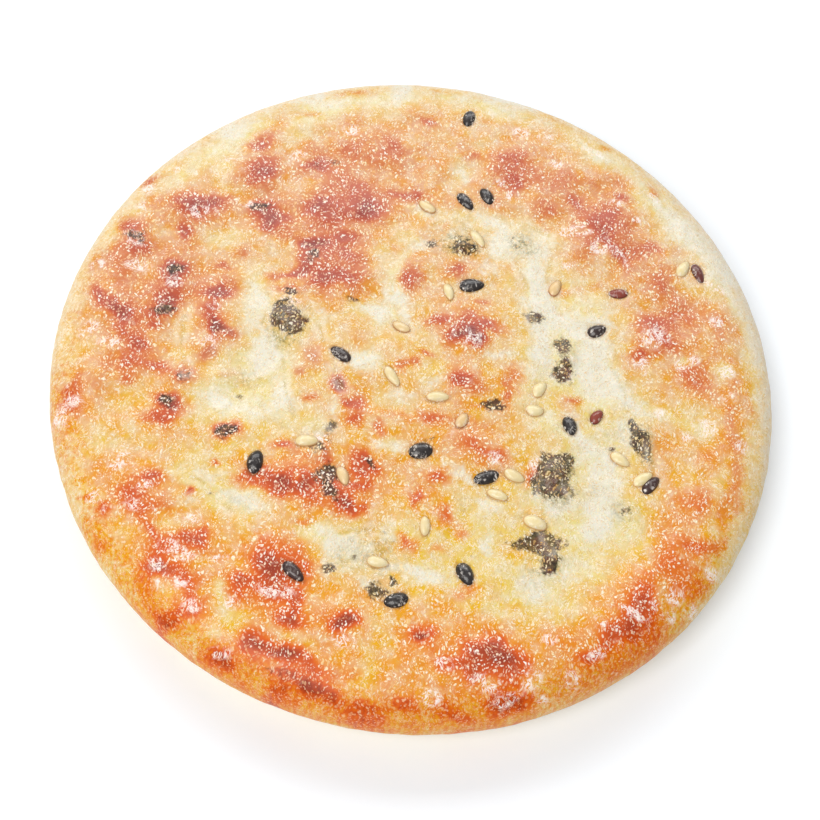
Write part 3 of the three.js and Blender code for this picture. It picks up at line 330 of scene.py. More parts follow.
# Milky skin, thick and steamed rather than fried: x, y, half length, half width, turn, strength
MILKY_PATCHES = [
    (9.5, 21.8, 3, 2.4, 0, 1), (13.5, 22.5, 3.4, 2.8, 0, 0.8), (7.5, 25.8, 3, 1.3, -35, 0.8),
    (15.3, 17, 4, 1.8, -75, 0.9), (17, 12.8, 3, 1.8, -50, 1), (20.5, 10.2, 5, 1.8, -5, 1),
    (16.7, 6, 5, 1.6, -82, 1), (25.2, 8, 5, 2, 85, 1), (26.5, 2, 3.4, 2.8, 0, 1),
    (23.6, 4.6, 1.4, 2.6, 0, 0.6), (31, -1.4, 3.4, 1.1, -20, 0.8), (24.4, -7.6, 3.8, 1.7, -45, 1),
    (31, -6, 2.8, 2.2, 0, 0.8), (28.3, -12.4, 1.8, 3, 0, 0.8), (28, -18.6, 2.2, 4.6, 0, 1),
    (21.3, -17.4, 3, 1.7, 0, 1), (20.6, -12.6, 1.8, 1.8, 0, 0.6), (20.6, -30.8, 2.4, 2.4, 0, 0.9),
    (24, -27.5, 3, 2, 0, 0.5), (13, -20, 2, 1.6, 0, 0.7), (13.3, -26, 1, 1.8, 0, 0.7),
    (5, -31.5, 3.2, 1.4, -5, 1), (0.8, -31, 2, 1.2, 0, 0.7), (-6.5, -29.3, 3.4, 1.6, -10, 0.9),
    (-8, -32, 1.4, 1.8, 0, 0.6), (-2.4, -34, 2.4, 1.2, -30, 0.8), (-0.6, -26.6, 1, 2, 0, 0.6),
    (-19.6, -25, 3.6, 1.2, -15, 0.9), (-26, -21.8, 2, 0.9, -20, 0.7), (-26.5, -10, 2.6, 1.2, 0, 1),
    (-22, -11.4, 3.4, 1.3, 0, 0.7), (-18, -9, 1.8, 2.2, 0, 0.8), (-21.2, -2, 2.3, 3.6, 0, 1.1),
    (-24, 4.8, 4.4, 1.4, -75, 0.8), (-14.2, 5.6, 2.2, 1.1, 0, 0.6), (-7, 6.8, 2.8, 1.4, 0, 0.9),
    (-5, 10.3, 1.6, 1.5, 0, 0.9), (-2.6, 7.6, 2.8, 1, -60, 0.7), (-7.4, -1.2, 2.8, 1.3, -15, 0.9),
    (-10.4, -9, 1.4, 2.6, 0, 0.6), (-12.4, -13, 3, 1, 0, 0.6), (-3, -13.8, 3.4, 0.9, 0, 0.8),
    (8.5, -16.5, 2.8, 0.9, -40, 0.8), (3, -3.6, 2, 1.2, 0, 0.6), (-2, -5, 2, 1.2, 0, 0.6),
    (-2.4, 26.2, 2.4, 1.1, -20, 0.8), (-2.6, 19.2, 2.4, 1.2, 25, 0.8), (1.8, 21.6, 1.6, 1.4, 0, 0.7),
    (7.4, 17, 1, 2, 0, 0.6), (2.6, 33.6, 1, 2, 0, 0.6), (11.4, 2.8, 2.4, 1, 0, 0.6),
    (-9.2, 48, 1.5, 2.8, 0, 0.9), (-22, 45, 3, 1.6, 25, 0.7), (-18.6, 43.6, 1.6, 1, 0, 0.5),
    (-33, 36, 2.6, 2, 40, 0.7), (7, 49.4, 4.4, 1.4, -8, 0.8), (21.5, 41.6, 2.2, 1, -30, 0.6),
    (31.5, 34, 2.4, 1, -45, 0.6), (36.4, 30, 3.4, 2.6, -40, 0.7), (42, 25, 5.4, 3, -55, 0.6),
    (48, 14, 6.5, 1.8, -75, 0.4), (50.2, 3, 6, 1, -88, 0.3), (-28, -26, 2, 1, -20, 0.4),
]

# Thin fold lines in the pale skin, each with painted shade along it and a painted highlight beside it: the
# points each runs through, x, y
FOLD_LINES = [
    [(-24.5, 17), (-24, 12), (-22.8, 7), (-21.6, 0), (-20.2, -3)],
    [(-17, 6.5), (-14.5, 2.5), (-13, -1), (-10.5, -4.5), (-9, -6)], [(-34, 2), (-33.2, -3), (-32, -7)],
    [(-20, -3.5), (-24, -4), (-27, -5.2)], [(-18.8, -3), (-18, -7), (-15.5, -11.5), (-13.7, -14)],
    [(11.5, 19), (13.5, 15.5), (15, 12), (15.5, 8), (15.2, 3)],
    [(18.5, 12.5), (21, 11.2), (27, 10.5), (28.2, 6), (28.8, 1.5)],
    [(27.8, 5), (29.2, 1), (29.5, -1), (31, -2.5), (34.5, -4.5)], [(8, 27), (12, 26), (16, 25.5)],
    [(16.5, 22.5), (17.2, 19), (16, 14.5)], [(20, -16.5), (20.3, -20), (21, -22.5), (21.8, -25)],
    [(23, -15.5), (24.8, -17), (24.6, -19)], [(33.8, -7), (34.6, -9.5), (34.5, -12)],
    [(-11, -9.5), (-10, -12.5)], [(-9, -28), (-5, -27), (-2, -26.5)],
    [(-6, -32), (-4.5, -30), (-3.5, -27.5)], [(31, 36.5), (33, 34), (34.6, 32.4)],
    [(-31, -21), (-26, -23), (-22, -26.5), (-17, -28.5)], [(-1, 23.5), (2.5, 25), (5.5, 22.5), (7.5, 20)],
]

# Wet clusters of painted glints: x, y, half length, half width, turn, strength
GLINT_CLUSTERS = [
    (-43.5, 13.7, 1.6, 1, -20, 1), (-47.8, 8.8, 0.9, 0.9, 0, 0.9), (-42, 9.3, 1.8, 0.9, 0, 0.7),
    (-36.5, 7.4, 1.4, 1, 0, 0.6), (-46.4, -1.6, 0.9, 0.8, 0, 0.9), (-47.4, -2.8, 0.8, 0.8, 0, 0.6),
    (-30, 4.3, 0.8, 0.6, 0, 1), (-29.6, -1.7, 1.2, 0.9, 0, 0.8), (-43, -4, 1.8, 0.8, 0, 0.7),
    (-47.8, -16, 1.2, 1.4, 0, 0.7), (-46.5, -13.6, 1.4, 0.8, 0, 0.6), (-35.2, 19.7, 1.3, 0.8, 0, 1),
    (-33.4, 20.2, 1, 0.6, 0, 0.6), (-43.4, 23, 0.9, 0.8, 0, 0.9), (-43.4, 19.5, 1, 0.9, 0, 0.6),
    (-22.3, 32.4, 1.1, 0.9, 0, 0.8), (-39.8, 27, 0.6, 0.6, 0, 0.8), (-32.4, 30, 0.9, 0.5, 0, 0.6),
    (-28.5, 22.5, 1.2, 0.6, 0, 0.7), (-15.5, 38.5, 1.2, 0.9, 0, 0.8), (10, 43, 1.2, 0.8, 0, 0.8),
    (14, 43, 1.2, 0.8, 0, 0.8), (16, 38.3, 1, 0.8, 0, 0.7), (10, 31, 1, 0.8, 0, 0.7),
    (8, 33, 0.9, 0.7, 0, 0.6), (20.5, 26.7, 1.6, 0.8, 10, 0.9), (18.4, 26, 0.9, 0.7, 0, 0.7),
    (23.7, 24.3, 1.2, 1, 0, 0.9), (25.6, 32.8, 1, 0.7, 0, 0.7), (28.9, 30.3, 0.7, 0.6, 0, 0.7),
    (31.8, 24, 0.9, 0.8, 0, 0.9), (31.3, 35.2, 1.9, 0.4, -42, 0.8), (19.5, 20.1, 0.9, 0.8, 0, 0.6),
    (21.5, 41.8, 2, 0.8, -20, 0.5), (41.6, 21, 1.8, 0.7, -20, 0.6), (26.5, 24, 2.6, 0.6, -48, 0.6),
    (31.5, 6, 1.1, 0.8, 0, 0.9), (31.6, 4.5, 0.7, 0.5, 0, 0.9), (33, 10.5, 2.2, 1.8, 0, 0.6),
    (37.5, 6.9, 1, 0.9, 0, 0.9), (39.2, 8, 0.9, 0.7, 0, 0.6), (44, 7, 1, 0.9, 0, 1),
    (42, 15, 1, 0.8, 0, 0.8), (41.5, -2.5, 1.6, 1.2, 0, 0.9), (44.5, 3, 0.9, 0.8, 0, 0.7),
    (38.8, -4.5, 0.9, 0.8, 0, 0.6), (47, -4.5, 1, 0.9, 0, 0.8), (35, -1.5, 1.1, 0.9, 0, 0.5),
    (44.2, -24, 1, 0.8, 0, 0.8), (42.4, -29.3, 1, 0.8, 40, 0.6), (39.1, -28.5, 1.2, 1, 0, 1),
    (37.2, -30.8, 1.2, 0.5, -20, 0.9), (39.3, -31.2, 0.5, 0.7, 0, 0.8), (34.5, -32.3, 1.4, 0.7, 0, 0.8),
    (32.5, -31.8, 0.7, 0.5, 0, 0.8), (29.7, -38.4, 1.3, 0.6, 30, 0.8), (26.8, -42.3, 1, 0.9, 0, 0.9),
    (23, -37.7, 0.9, 0.7, 0, 0.8), (21.4, -43.5, 1.3, 1, 40, 0.9), (23, -45.4, 1, 0.5, 0, 0.6),
    (18.4, -46.6, 1.6, 0.6, 30, 1), (29.6, -34, 1, 0.6, -40, 0.7), (15.5, -45, 1.6, 1, 0, 1),
    (8.5, -48, 1.2, 0.9, 0, 1), (9.5, -43.5, 1.2, 0.8, 0, 0.8), (-4, -42.5, 1.4, 0.8, 0, 0.8),
    (-14, -37, 2.4, 0.9, 0, 0.7), (-27, -34, 1.7, 0.7, -15, 1), (-29.2, -33, 1.2, 0.8, 0, 0.8),
    (-30.3, -35.8, 0.8, 0.8, 0, 0.9), (-26.5, -37.9, 0.9, 0.7, 0, 0.7), (-34, -25, 0.9, 0.7, 20, 1),
    (-34.3, -28, 1.9, 0.8, 0, 0.6), (-37.5, -21.3, 1, 0.8, 0, 0.9), (-38.6, -22.8, 0.9, 0.5, 0, 0.8),
    (-40.6, -27.4, 0.9, 0.7, 0, 0.9), (-38.2, -29, 0.9, 0.7, 0, 0.6), (-22, -33.6, 1, 0.6, 20, 0.8),
    (-19.5, -39.7, 1, 0.7, 0, 0.9), (-24.6, -40.8, 1.2, 0.9, 0, 0.7), (-29.3, -38.3, 0.7, 0.5, 0, 0.9),
    (-19.6, -46.2, 1.6, 0.6, 0, 0.8), (-26.5, -28.5, 1.4, 0.7, 0, 0.6), (12.8, -13, 1.2, 0.9, 0, 0.7),
    (18.5, -12.7, 1, 0.8, 0, 0.9), (20.5, -15, 2, 1.4, 0, 0.8), (20.8, 1.8, 1.2, 1, 0, 0.7),
    (21.2, 4.6, 0.6, 0.5, 0, 0.9), (-19.2, 3.6, 2.4, 1.8, 80, 0.6), (-19.4, 6.9, 1.3, 0.4, 0, 0.9),
    (-11.5, -13.9, 1, 0.8, 0, 0.6), (6.5, 5, 2.2, 1.6, 0, 0.5), (-36.8, 2.6, 1, 0.9, 0, 0.5),
]

# Sesame seeds that show: x, y, length, width, turn, and how brown, from 0 to 1
BLACK_SESAME = [
    (5.9, 13.9, 3.7, 2.3, 12, 0), (-10.9, -0.8, 3.3, 2, -30, 0.05), (2.3, -13.8, 3.5, 2.5, 20, 0),
    (11.8, -16.1, 3.7, 2.1, 30, 0), (1.9, 44.1, 2.9, 2, 80, 0), (3.2, 28.7, 3.4, 1.9, -48, 0),
    (6.3, 30.2, 3, 1.9, -58, 0), (24.7, 10, 2.9, 2, 35, 0.05), (22.4, -5.9, 2.9, 2.1, -68, 0),
    (34.5, -12.9, 3.2, 1.9, 55, 0.12), (-12.1, -34, 3.6, 1.9, -33, 0.1), (2.1, -35.7, 3.4, 2.2, 25, 0),
    (10.7, -30.4, 3.5, 2.2, -55, 0), (-19.9, -19, 3.4, 2.4, 85, 0), (38.7, 22.9, 3.4, 1.7, -65, 0.5),
    (27.3, 17, 2.9, 1.7, 15, 1), (26, -3.8, 2.4, 1.7, 60, 1),
]
PALE_SESAME = [
    (2.8, 12.1, 2.9, 1.5, -65, 0.1), (3.5, -5.2, 3.3, 1.7, 8, 0.1), (7.3, -8.3, 2.5, 1.8, 70, 1),
    (-3.1, 5.1, 2.9, 1.6, -25, 0.7), (-3.3, -3.1, 3.4, 1.6, -50, 0.2), (17.5, -1.2, 2.9, 1.9, 60, 0),
    (17.2, -4.7, 2.7, 1.9, 0, 0), (-13.5, -14.8, 3.4, 1.9, 10, 0.2), (15.5, -15.2, 3.2, 1.8, -15, 0.2),
    (13.6, -18.4, 3, 1.6, -12, 0.1), (18, 16, 2.8, 1.7, 70, 1), (5.8, 22.3, 3.5, 1.6, -50, 0.1),
    (33.3, -12.2, 3.3, 1.8, 45, 0), (29.9, -9.7, 3.1, 1.8, -30, 0.1), (-7.7, -19.3, 3, 1.7, -60, 0.8),
    (4.4, -24.8, 2.8, 1.6, -80, 0.2), (-1.2, -30.7, 3, 1.7, 0, 0), (36.4, 23.1, 3.2, 1.9, 70, 0.1),
    (19.2, -21.4, 3.6, 2.1, -12, 0.1), (-2.2, 26.5, 3.1, 1.6, -30, 0.4),
]

# How much narrower a seed is at its pointed end, as a share
SEED_TAPER = 0.12
# A distance in mm that is longer than any on the crust
FAR = 99.0


# ---- Fields over the crust ----------------------------------------------------------------------
def noise(points, size, seed):
    """Smooth seeded noise from -1 to 1, with features of about the given size in mm."""
    cells = 32
    table = np.random.default_rng(seed).random((cells, cells, cells)) * 2 - 1
    scaled = points / size
    corner = np.floor(scaled).astype(int)
    part = scaled - corner
    part = part ** 3 * (part * (part * 6 - 15) + 10)
    total = np.zeros(points.shape[:-1])
    for offset in np.ndindex(2, 2, 2):
        weight = np.prod(np.where(offset, part, 1 - part), axis=-1)
        cell = (corner + offset) % cells
        total += weight * table[cell[..., 0], cell[..., 1], cell[..., 2]]
    return total


def bell(distance, centre, width):
    """1 where the distance is the centre's, falling to 0 over about twice the width."""
    return np.exp(-((distance - centre) / width) ** 2)


def along_and_across(x, y, centre_x, centre_y, turn):
    """Places in mm along and across an oval with this centre, turned by this many degrees."""
    angle = math.radians(turn)
    off_x, off_y = x - centre_x, y - centre_y
    along = off_x * math.cos(angle) + off_y * math.sin(angle)
    across = off_y * math.cos(angle) - off_x * math.sin(angle)
    return along, across


def patches(x, y, rows, sharpness=1.25):
    """Sum of soft-edged ovals, each row as x, y, half length, half width, turn in degrees, strength."""
    total = np.zeros(np.shape(x))
    for centre_x, centre_y, half_length, half_width, turn, strength in rows:
        along, across = along_and_across(x, y, centre_x, centre_y, turn)
        reach = (along / half_length) ** 2 + (across / half_width) ** 2
        total += strength * np.exp(-reach ** sharpness)
    return total


def seed_distance(x, y, rows):
    """How far each point is outside the nearest seed's outline, in mm, and negative inside it."""
    nearest = np.full(x.shape, FAR)
    for centre_x, centre_y, length, width, turn, _ in rows:
        along, across = along_and_across(x, y, centre_x, centre_y, turn)
        along = along / (length / 2)
        across = across / (width / 2)
        across = across / (1 - SEED_TAPER * np.clip((along + 1) / 2, 0, 1))
        nearest = np.minimum(nearest, (np.hypot(along, across) - 1) * width / 2)
    return nearest


def fold_distance(x, y):
    """Distance from the nearest fold line."""
    nearest = np.full(np.shape(x), FAR)
    for line in FOLD_LINES:
        for (start_x, start_y), (end_x, end_y) in zip(line, line[1:]):
            run_x, run_y = end_x - start_x, end_y - start_y
            share = ((x - start_x) * run_x + (y - start_y) * run_y) / (run_x ** 2 + run_y ** 2)
            share = np.clip(share, 0, 1)
            away = np.hypot(x - start_x - share * run_x, y - start_y - share * run_y)
            nearest = np.minimum(nearest, away)
    return nearest


def wandering(points):
    """The points' x and y, shifted by noise so that no mark keeps a smooth oval edge."""
    shift_x = 0.9 * noise(points, 3.2, 11) + 0.45 * noise(points, 1.3, 12)
    shift_y = 0.9 * noise(points, 3.2, 13) + 0.45 * noise(points, 1.3, 14)
    return points[..., 0] + shift_x, points[..., 1] + shift_y


def smooth_top(radius):
    """Height of the smooth top and of the round edge, down to the waist."""
    inwards = np.clip(1 - (radius / SHOULDER_RADIUS) ** 2, 0, 1)
    dome = (CENTRE_HEIGHT - SHOULDER_HEIGHT) * inwards ** 2
    outwards = np.clip((radius - SHOULDER_RADIUS) / TOP_EDGE_WIDTH, 0, 1)
    rise = (1 - outwards ** EDGE_ROUNDNESS) ** (1 / EDGE_ROUNDNESS)
    return WAIST_HEIGHT + (SHOULDER_HEIGHT - WAIST_HEIGHT) * rise + dome


def broad_relief(x, y):
    """Rise of the islands and the lumps and depth of the hollows."""
    raised = ISLAND_RISE * patches(x, y, TOASTED_ISLANDS, 1.5)
    sunk = HOLLOW_DEPTH * patches(x, y, PALE_HOLLOWS, 1.5)
    lumps = LUMP_RISE * patches(x, y, FILLING_LUMPS, 1.5)
    return raised - sunk + lumps


# ---- Meshes -------------------------------------------------------------------------------------
def crust_profile():
    """The section from the middle of the top over the edge to the middle of the sole: radius, height."""
    power = 2 / EDGE_ROUNDNESS
    flat = np.linspace(0, SHOULDER_RADIUS, TOP_STATIONS)
    turn = np.linspace(0, math.pi / 2, EDGE_STATIONS)[1:]
    upper = np.sin(turn) ** power
    lower = np.cos(turn).clip(0) ** power
    top = np.stack([flat, smooth_top(flat)], 1)
    top_edge = np.stack([SHOULDER_RADIUS + TOP_EDGE_WIDTH * upper,
                         WAIST_HEIGHT + (SHOULDER_HEIGHT - WAIST_HEIGHT) * lower], 1)
    under_edge = np.stack([SOLE_RADIUS + BOTTOM_EDGE_WIDTH * lower, WAIST_HEIGHT * (1 - upper)], 1)
    return np.concatenate([top, top_edge, under_edge, [(0.0, 0.0)]])


def ring_places():
    """Radius and height of each ring of points along the section, and whether it is off the sole."""
    section = crust_profile()
    lengths = np.concatenate([[0], np.cumsum(np.hypot(*np.diff(section, axis=0).T))])
    top_end = lengths[TOP_STATIONS]
    sole_start = lengths[-2]
    stations = np.concatenate([
        np.linspace(0, top_end, round(top_end / TOP_SPACING), endpoint=False),
        np.linspace(top_end, sole_start, round((sole_start - top_end) / EDGE_SPACING), endpoint=False),
        np.linspace(sole_start, lengths[-1], round((lengths[-1] - sole_start) / SOLE_SPACING)),
    ])
    radius = np.interp(stations, lengths, section[:, 0])
    height = np.interp(stations, lengths, section[:, 1])
    return radius, height, stations <= sole_start


def stitched(first, second):
    """Triangles between two rings of points, each given as its first index and its count."""
    (start_a, count_a), (start_b, count_b) = first, second
    faces = []
    a = b = 0
    while a < count_a or b < count_b:
        here_a, here_b = start_a + a % count_a, start_b + b % count_b
        if b < count_b and (a >= count_a or (b + 1) * count_a <= (a + 1) * count_b):
            faces.append((here_a, here_b, start_b + (b + 1) % count_b))
            b += 1
        else:
            faces.append((here_a, here_b, start_a + (a + 1) % count_a))
            a += 1
    return faces


def crust_net():
    """Points and triangles of the smooth closed crust."""
    radii, heights, off_sole = ring_places()
    points = [(0.0, 0.0, heights[0])]
    faces = []
    rings = []
    for radius, height, fine in list(zip(radii, heights, off_sole))[1:-1]:
        spacing = TOP_SPACING if fine and height > WAIST_HEIGHT * 0.9 else SOLE_SPACING
        count = max(6, round(2 * math.pi * radius / spacing))
        angles = np.linspace(0, 2 * math.pi, count, endpoint=False)
        rings.append((len(points), count))
        points.extend(zip(radius * np.cos(angles), radius * np.sin(angles), np.full(count, height)))
    first_start, first_count = rings[0]
    faces.extend((0, first_start + k, first_start + (k + 1) % first_count) for k in range(first_count))
    for inner, outer in zip(rings, rings[1:]):
        faces.extend(stitched(inner, outer))
    last_start, last_count = rings[-1]
    centre = len(points)
    points.append((0.0, 0.0, 0.0))
    faces.extend((centre, last_start + (k + 1) % last_count, last_start + k) for k in range(last_count))
    return np.array(points), faces


def add_mesh(name, points, faces, material, fields):
    """A smooth-shaded mesh object, with each named field stored as one number a point."""
    mesh = bpy.data.meshes.new(name)
    mesh.from_pydata((np.asarray(points) * MM).tolist(), [], faces)
    mesh.shade_smooth()
    mesh.materials.append(material)
    for field, values in fields.items():
        attribute = mesh.attributes.new(field, "FLOAT", "POINT")
        attribute.data.foreach_set("value", np.asarray(values, dtype=np.float32))
    piece = bpy.data.objects.new(name, mesh)
    bpy.context.scene.collection.objects.link(piece)
    return piece


# ---- Materials ----------------------------------------------------------------------------------
def linear(hex_colour):
    """An sRGB hex colour as linear RGBA."""
    channels = [int(hex_colour[i:i + 2], 16) / 255 for i in (1, 3, 5)]
    return (*[c / 12.92 if c <= 0.04045 else ((c + 0.055) / 1.055) ** 2.4 for c in channels], 1.0)


def add_node(tree, kind, inputs, stops=(), **settings):
    """One shader node: its settings, its ramp stops, and each input as a value or as what feeds it."""
    node = tree.nodes.new("ShaderNode" + kind)
    for name, value in settings.items():
        setattr(node, name, value)
    for name, value in inputs.items():
        if isinstance(name, int):
            socket = node.inputs[name]
        else:
            socket = next(s for s in node.inputs if s.enabled and s.name == name)
        if isinstance(value, bpy.types.Node):
            value = next(s for s in value.outputs if s.enabled)
        if isinstance(value, bpy.types.NodeSocket):
            tree.links.new(value, socket)
        else:
            socket.default_value = value
    for index, (place, colour) in enumerate(stops):
        elements = node.color_ramp.elements
        element = elements[index] if index < 2 else elements.new(place)
        element.position = place
        element.color = linear(colour)
    return node


def new_material(name):
    """A material without nodes, and its node tree."""
    material = bpy.data.materials.new(name)
    material.use_nodes = True
    material.node_tree.nodes.clear()
    return material, material.node_tree


def per_metre(size_mm):
    """Scale of a pattern whose features are this size."""
    return 1 / (size_mm * MM)


# Sizes of the patterns in mm. The blisters of fried dough are about half a millimetre across. Its pores
# are too fine for the render to show, so they are drawn as coarse as 0.3 mm.
FLECK_SPACING = 0.54
FINE_FLECK_SPACING = 0.4
SEED_FLECK_SPACING = 0.7
STROKE_SIZE = 0.5
GLINT_STROKE_SIZE = 0.6
SEED_STROKE_SIZE = 0.9
MOTTLE_SIZE = 0.9
FIBRE_SIZE = 0.5
MILK_SIZE = 1.5
RICHNESS_SIZE = 2.3
SPECKLE_SIZE = 0.8
PORE_SIZE = 0.3
HULL_PIT_SIZE = 0.6
SWIRL_SIZE = 3
SWIRL_REACH = 1.6
RAGGED_SIZE = 0.5
RAGGED_REACH = 0.45
BUMP_DEPTH = 0.1


def shift(tree, place, size, reach):
    """A sideways shift that follows a noise of this size, as far as this reach, both in mm."""
    drift = add_node(tree, "TexNoise", {"Vector": place, "Scale": per_metre(size), "Detail": 0.0})
    centred = add_node(tree, "VectorMath", {0: drift.outputs["Color"], 1: (0.5, 0.5, 0.5)},
                       operation="SUBTRACT")
    return add_node(tree, "VectorMath", {0: centred, "Scale": reach * MM}, operation="SCALE")


def swirled(tree, place):
    """Position warped and stretched, so that round cells become short ragged flecks that change direction."""
    swirl = shift(tree, place, SWIRL_SIZE, SWIRL_REACH)
    ragged = shift(tree, place, RAGGED_SIZE, RAGGED_REACH)
    bent = add_node(tree, "VectorMath", {0: place, 1: swirl}, operation="ADD")
    moved = add_node(tree, "VectorMath", {0: bent, 1: ragged}, operation="ADD")
    return add_node(tree, "Mapping", {"Vector": moved, "Scale": (1.2, 0.8, 1.0)})


def flecks(tree, place, spacing, edge=0.36, core=0.25):
    """Dots at about the given spacing, each with its own strength, and the number of each cell."""
    cells = add_node(tree, "TexVoronoi", {"Vector": place, "Scale": per_metre(spacing)})
    dot = add_node(tree, "MapRange", {"Value": cells.outputs["Distance"], "From Min": edge,
                                      "From Max": core}, interpolation_type="SMOOTHSTEP")
    chosen = add_node(tree, "MapRange", {"Value": cells.outputs["Color"], "From Min": 0.1, "From Max": 0.5,
                                         "To Min": 0.3})
    dots = add_node(tree, "Math", {0: dot, 1: chosen}, operation="MULTIPLY")
    return dots, cells.outputs["Color"]


def strokes(tree, place, size, thickness, cover):
    """Short curved lines: a contour of a noise of this size, broken up. More cover leaves more of it."""
    worms = add_node(tree, "TexNoise",
                     {"Vector": place, "Scale": per_metre(size), "Detail": 1.0, "Distortion": 1.0})
    middle = add_node(tree, "Math", {0: worms, 1: 0.5}, operation="SUBTRACT")
    off_line = add_node(tree, "Math", {0: middle}, operation="ABSOLUTE")
    line = add_node(tree, "MapRange", {"Value": off_line, "From Min": thickness, "From Max": 0.3 * thickness})
    clumps = add_node(tree, "TexNoise", {"Vector": place, "Scale": per_metre(2.2 * size), "Detail": 1.0})
    broken = add_node(tree, "MapRange", {"Value": clumps, "From Min": 0.6 - 0.2 * cover,
                                         "From Max": 0.7 - 0.2 * cover})
    return add_node(tree, "Math", {0: line, 1: broken}, operation="MULTIPLY")


def browned_dough(tree, place, fields):
    """How brown the dough is, mottled finely, with upright fibres round the side, and its colour."""
    mottle = add_node(tree, "TexNoise",
                      {"Vector": place, "Scale": per_metre(MOTTLE_SIZE), "Detail": 3.0, "Roughness": 0.6})
    mottle_step = add_node(tree, "MapRange", {"Value": mottle, "From Min": 0.25, "From Max": 0.75,
                                              "To Min": -0.04, "To Max": 0.04})
    upright = add_node(tree, "Mapping", {"Vector": place, "Scale": (1.0, 1.0, 0.22)})
    fibre = add_node(tree, "TexNoise", {"Vector": upright, "Scale": per_metre(FIBRE_SIZE), "Detail": 1.0})
    fibre_step = add_node(tree, "MapRange", {"Value": fibre, "From Min": 0.35, "From Max": 0.65,
                                             "To Min": -0.08, "To Max": 0.08})
    fibre_here = add_node(tree, "Math", {0: fibre_step, 1: fields["side"]}, operation="MULTIPLY")
    mottled = add_node(tree, "Math", {0: fields["toast"], 1: mottle_step}, operation="ADD")
    browning = add_node(tree, "Math", {0: mottled, 1: fibre_here}, operation="ADD")
    red_browned = add_node(tree, "ValToRGB", {"Fac": browning}, [
        (0.0, "#e4dcc0"), (1.0, "#883a32"), (0.12, "#e4d69c"), (0.27, "#e1bd78"), (0.42, "#dc9a56"),
        (0.56, "#cf7642"), (0.70, "#be5636"), (0.86, "#a64838")])
    gold_browned = add_node(tree, "ValToRGB", {"Fac": browning}, [
        (0.0, "#e4dcb6"), (1.0, "#9a381c"), (0.12, "#e5d78e"), (0.27, "#e5c260"), (0.42, "#e59b34"),
        (0.56, "#e07a1c"), (0.70, "#d85c14"), (0.86, "#bc4818")])
    browned = add_node(tree, "Mix", {"Factor": fields["low_side"], "A": red_browned, "B": gold_browned},
                       data_type="RGBA")
    return browning, browned


def pale_skin(tree, place, fields, browning, browned):
    """The dough's colour with its skin: yellower where it is thin, milky where it steamed, and bare
    round the side. Also the noise that breaks up the milky skin."""
    lean_share = add_node(tree, "Math", {0: fields["thin"], 1: 0.85}, operation="MULTIPLY")
    lean = add_node(tree, "Mix", {"Factor": lean_share, "A": browned, "B": linear("#e0d29c")},
                    data_type="RGBA")
    richness = add_node(tree, "TexNoise", {"Vector": place, "Scale": per_metre(RICHNESS_SIZE), "Detail": 1.0})
    saturation = add_node(tree, "MapRange", {"Value": richness, "From Min": 0.35, "From Max": 0.65,
                                             "To Min": 0.82, "To Max": 1.15})
    rich = add_node(tree, "HueSaturation", {"Color": lean, "Saturation": saturation})
    not_deep = add_node(tree, "MapRange", {"Value": browning, "From Min": 0.6, "From Max": 0.4})
    varied = add_node(tree, "Mix", {"Factor": not_deep, "A": lean, "B": rich}, data_type="RGBA")
    edge_saturation = add_node(tree, "MapRange", {"Value": fields["low_edge"], "From Min": 0.5, "To Min": 1.0,
                                                  "To Max": 1.15})
    rimmed = add_node(tree, "HueSaturation", {"Color": varied, "Saturation": edge_saturation})
    bare = add_node(tree, "MapRange", {"Value": browning, "From Min": 0.4, "From Max": 0.2, "To Max": 0.55})
    bare_side = add_node(tree, "Math", {0: fields["side"], 1: bare}, operation="MULTIPLY")
    warmed = add_node(tree, "Mix", {"Factor": bare_side, "A": rimmed, "B": linear("#efc793")},
                      data_type="RGBA")

    milk_noise = add_node(tree, "TexNoise", {"Vector": place, "Scale": per_metre(MILK_SIZE), "Detail": 4.0,
                                             "Roughness": 0.62, "Distortion": 0.8})
    milk_step = add_node(tree, "MapRange", {"Value": milk_noise, "From Min": 0.3, "From Max": 0.7,
                                            "To Min": -0.4, "To Max": 0.4})
    pale = add_node(tree, "MapRange", {"Value": browning, "From Min": 0.4, "From Max": 0.1, "To Max": 0.3})
    milk_more = add_node(tree, "Math", {0: fields["milk"], 1: pale}, operation="ADD")
    milk_here = add_node(tree, "Math", {0: milk_more, 1: milk_step}, operation="ADD")
    milky = add_node(tree, "MapRange", {"Value": milk_here, "From Min": 0.2, "From Max": 1.0, "To Max": 0.92})
    steamed = add_node(tree, "Mix", {"Factor": milky, "A": warmed, "B": linear("#e5e1d0")}, data_type="RGBA")
    return steamed, milk_noise


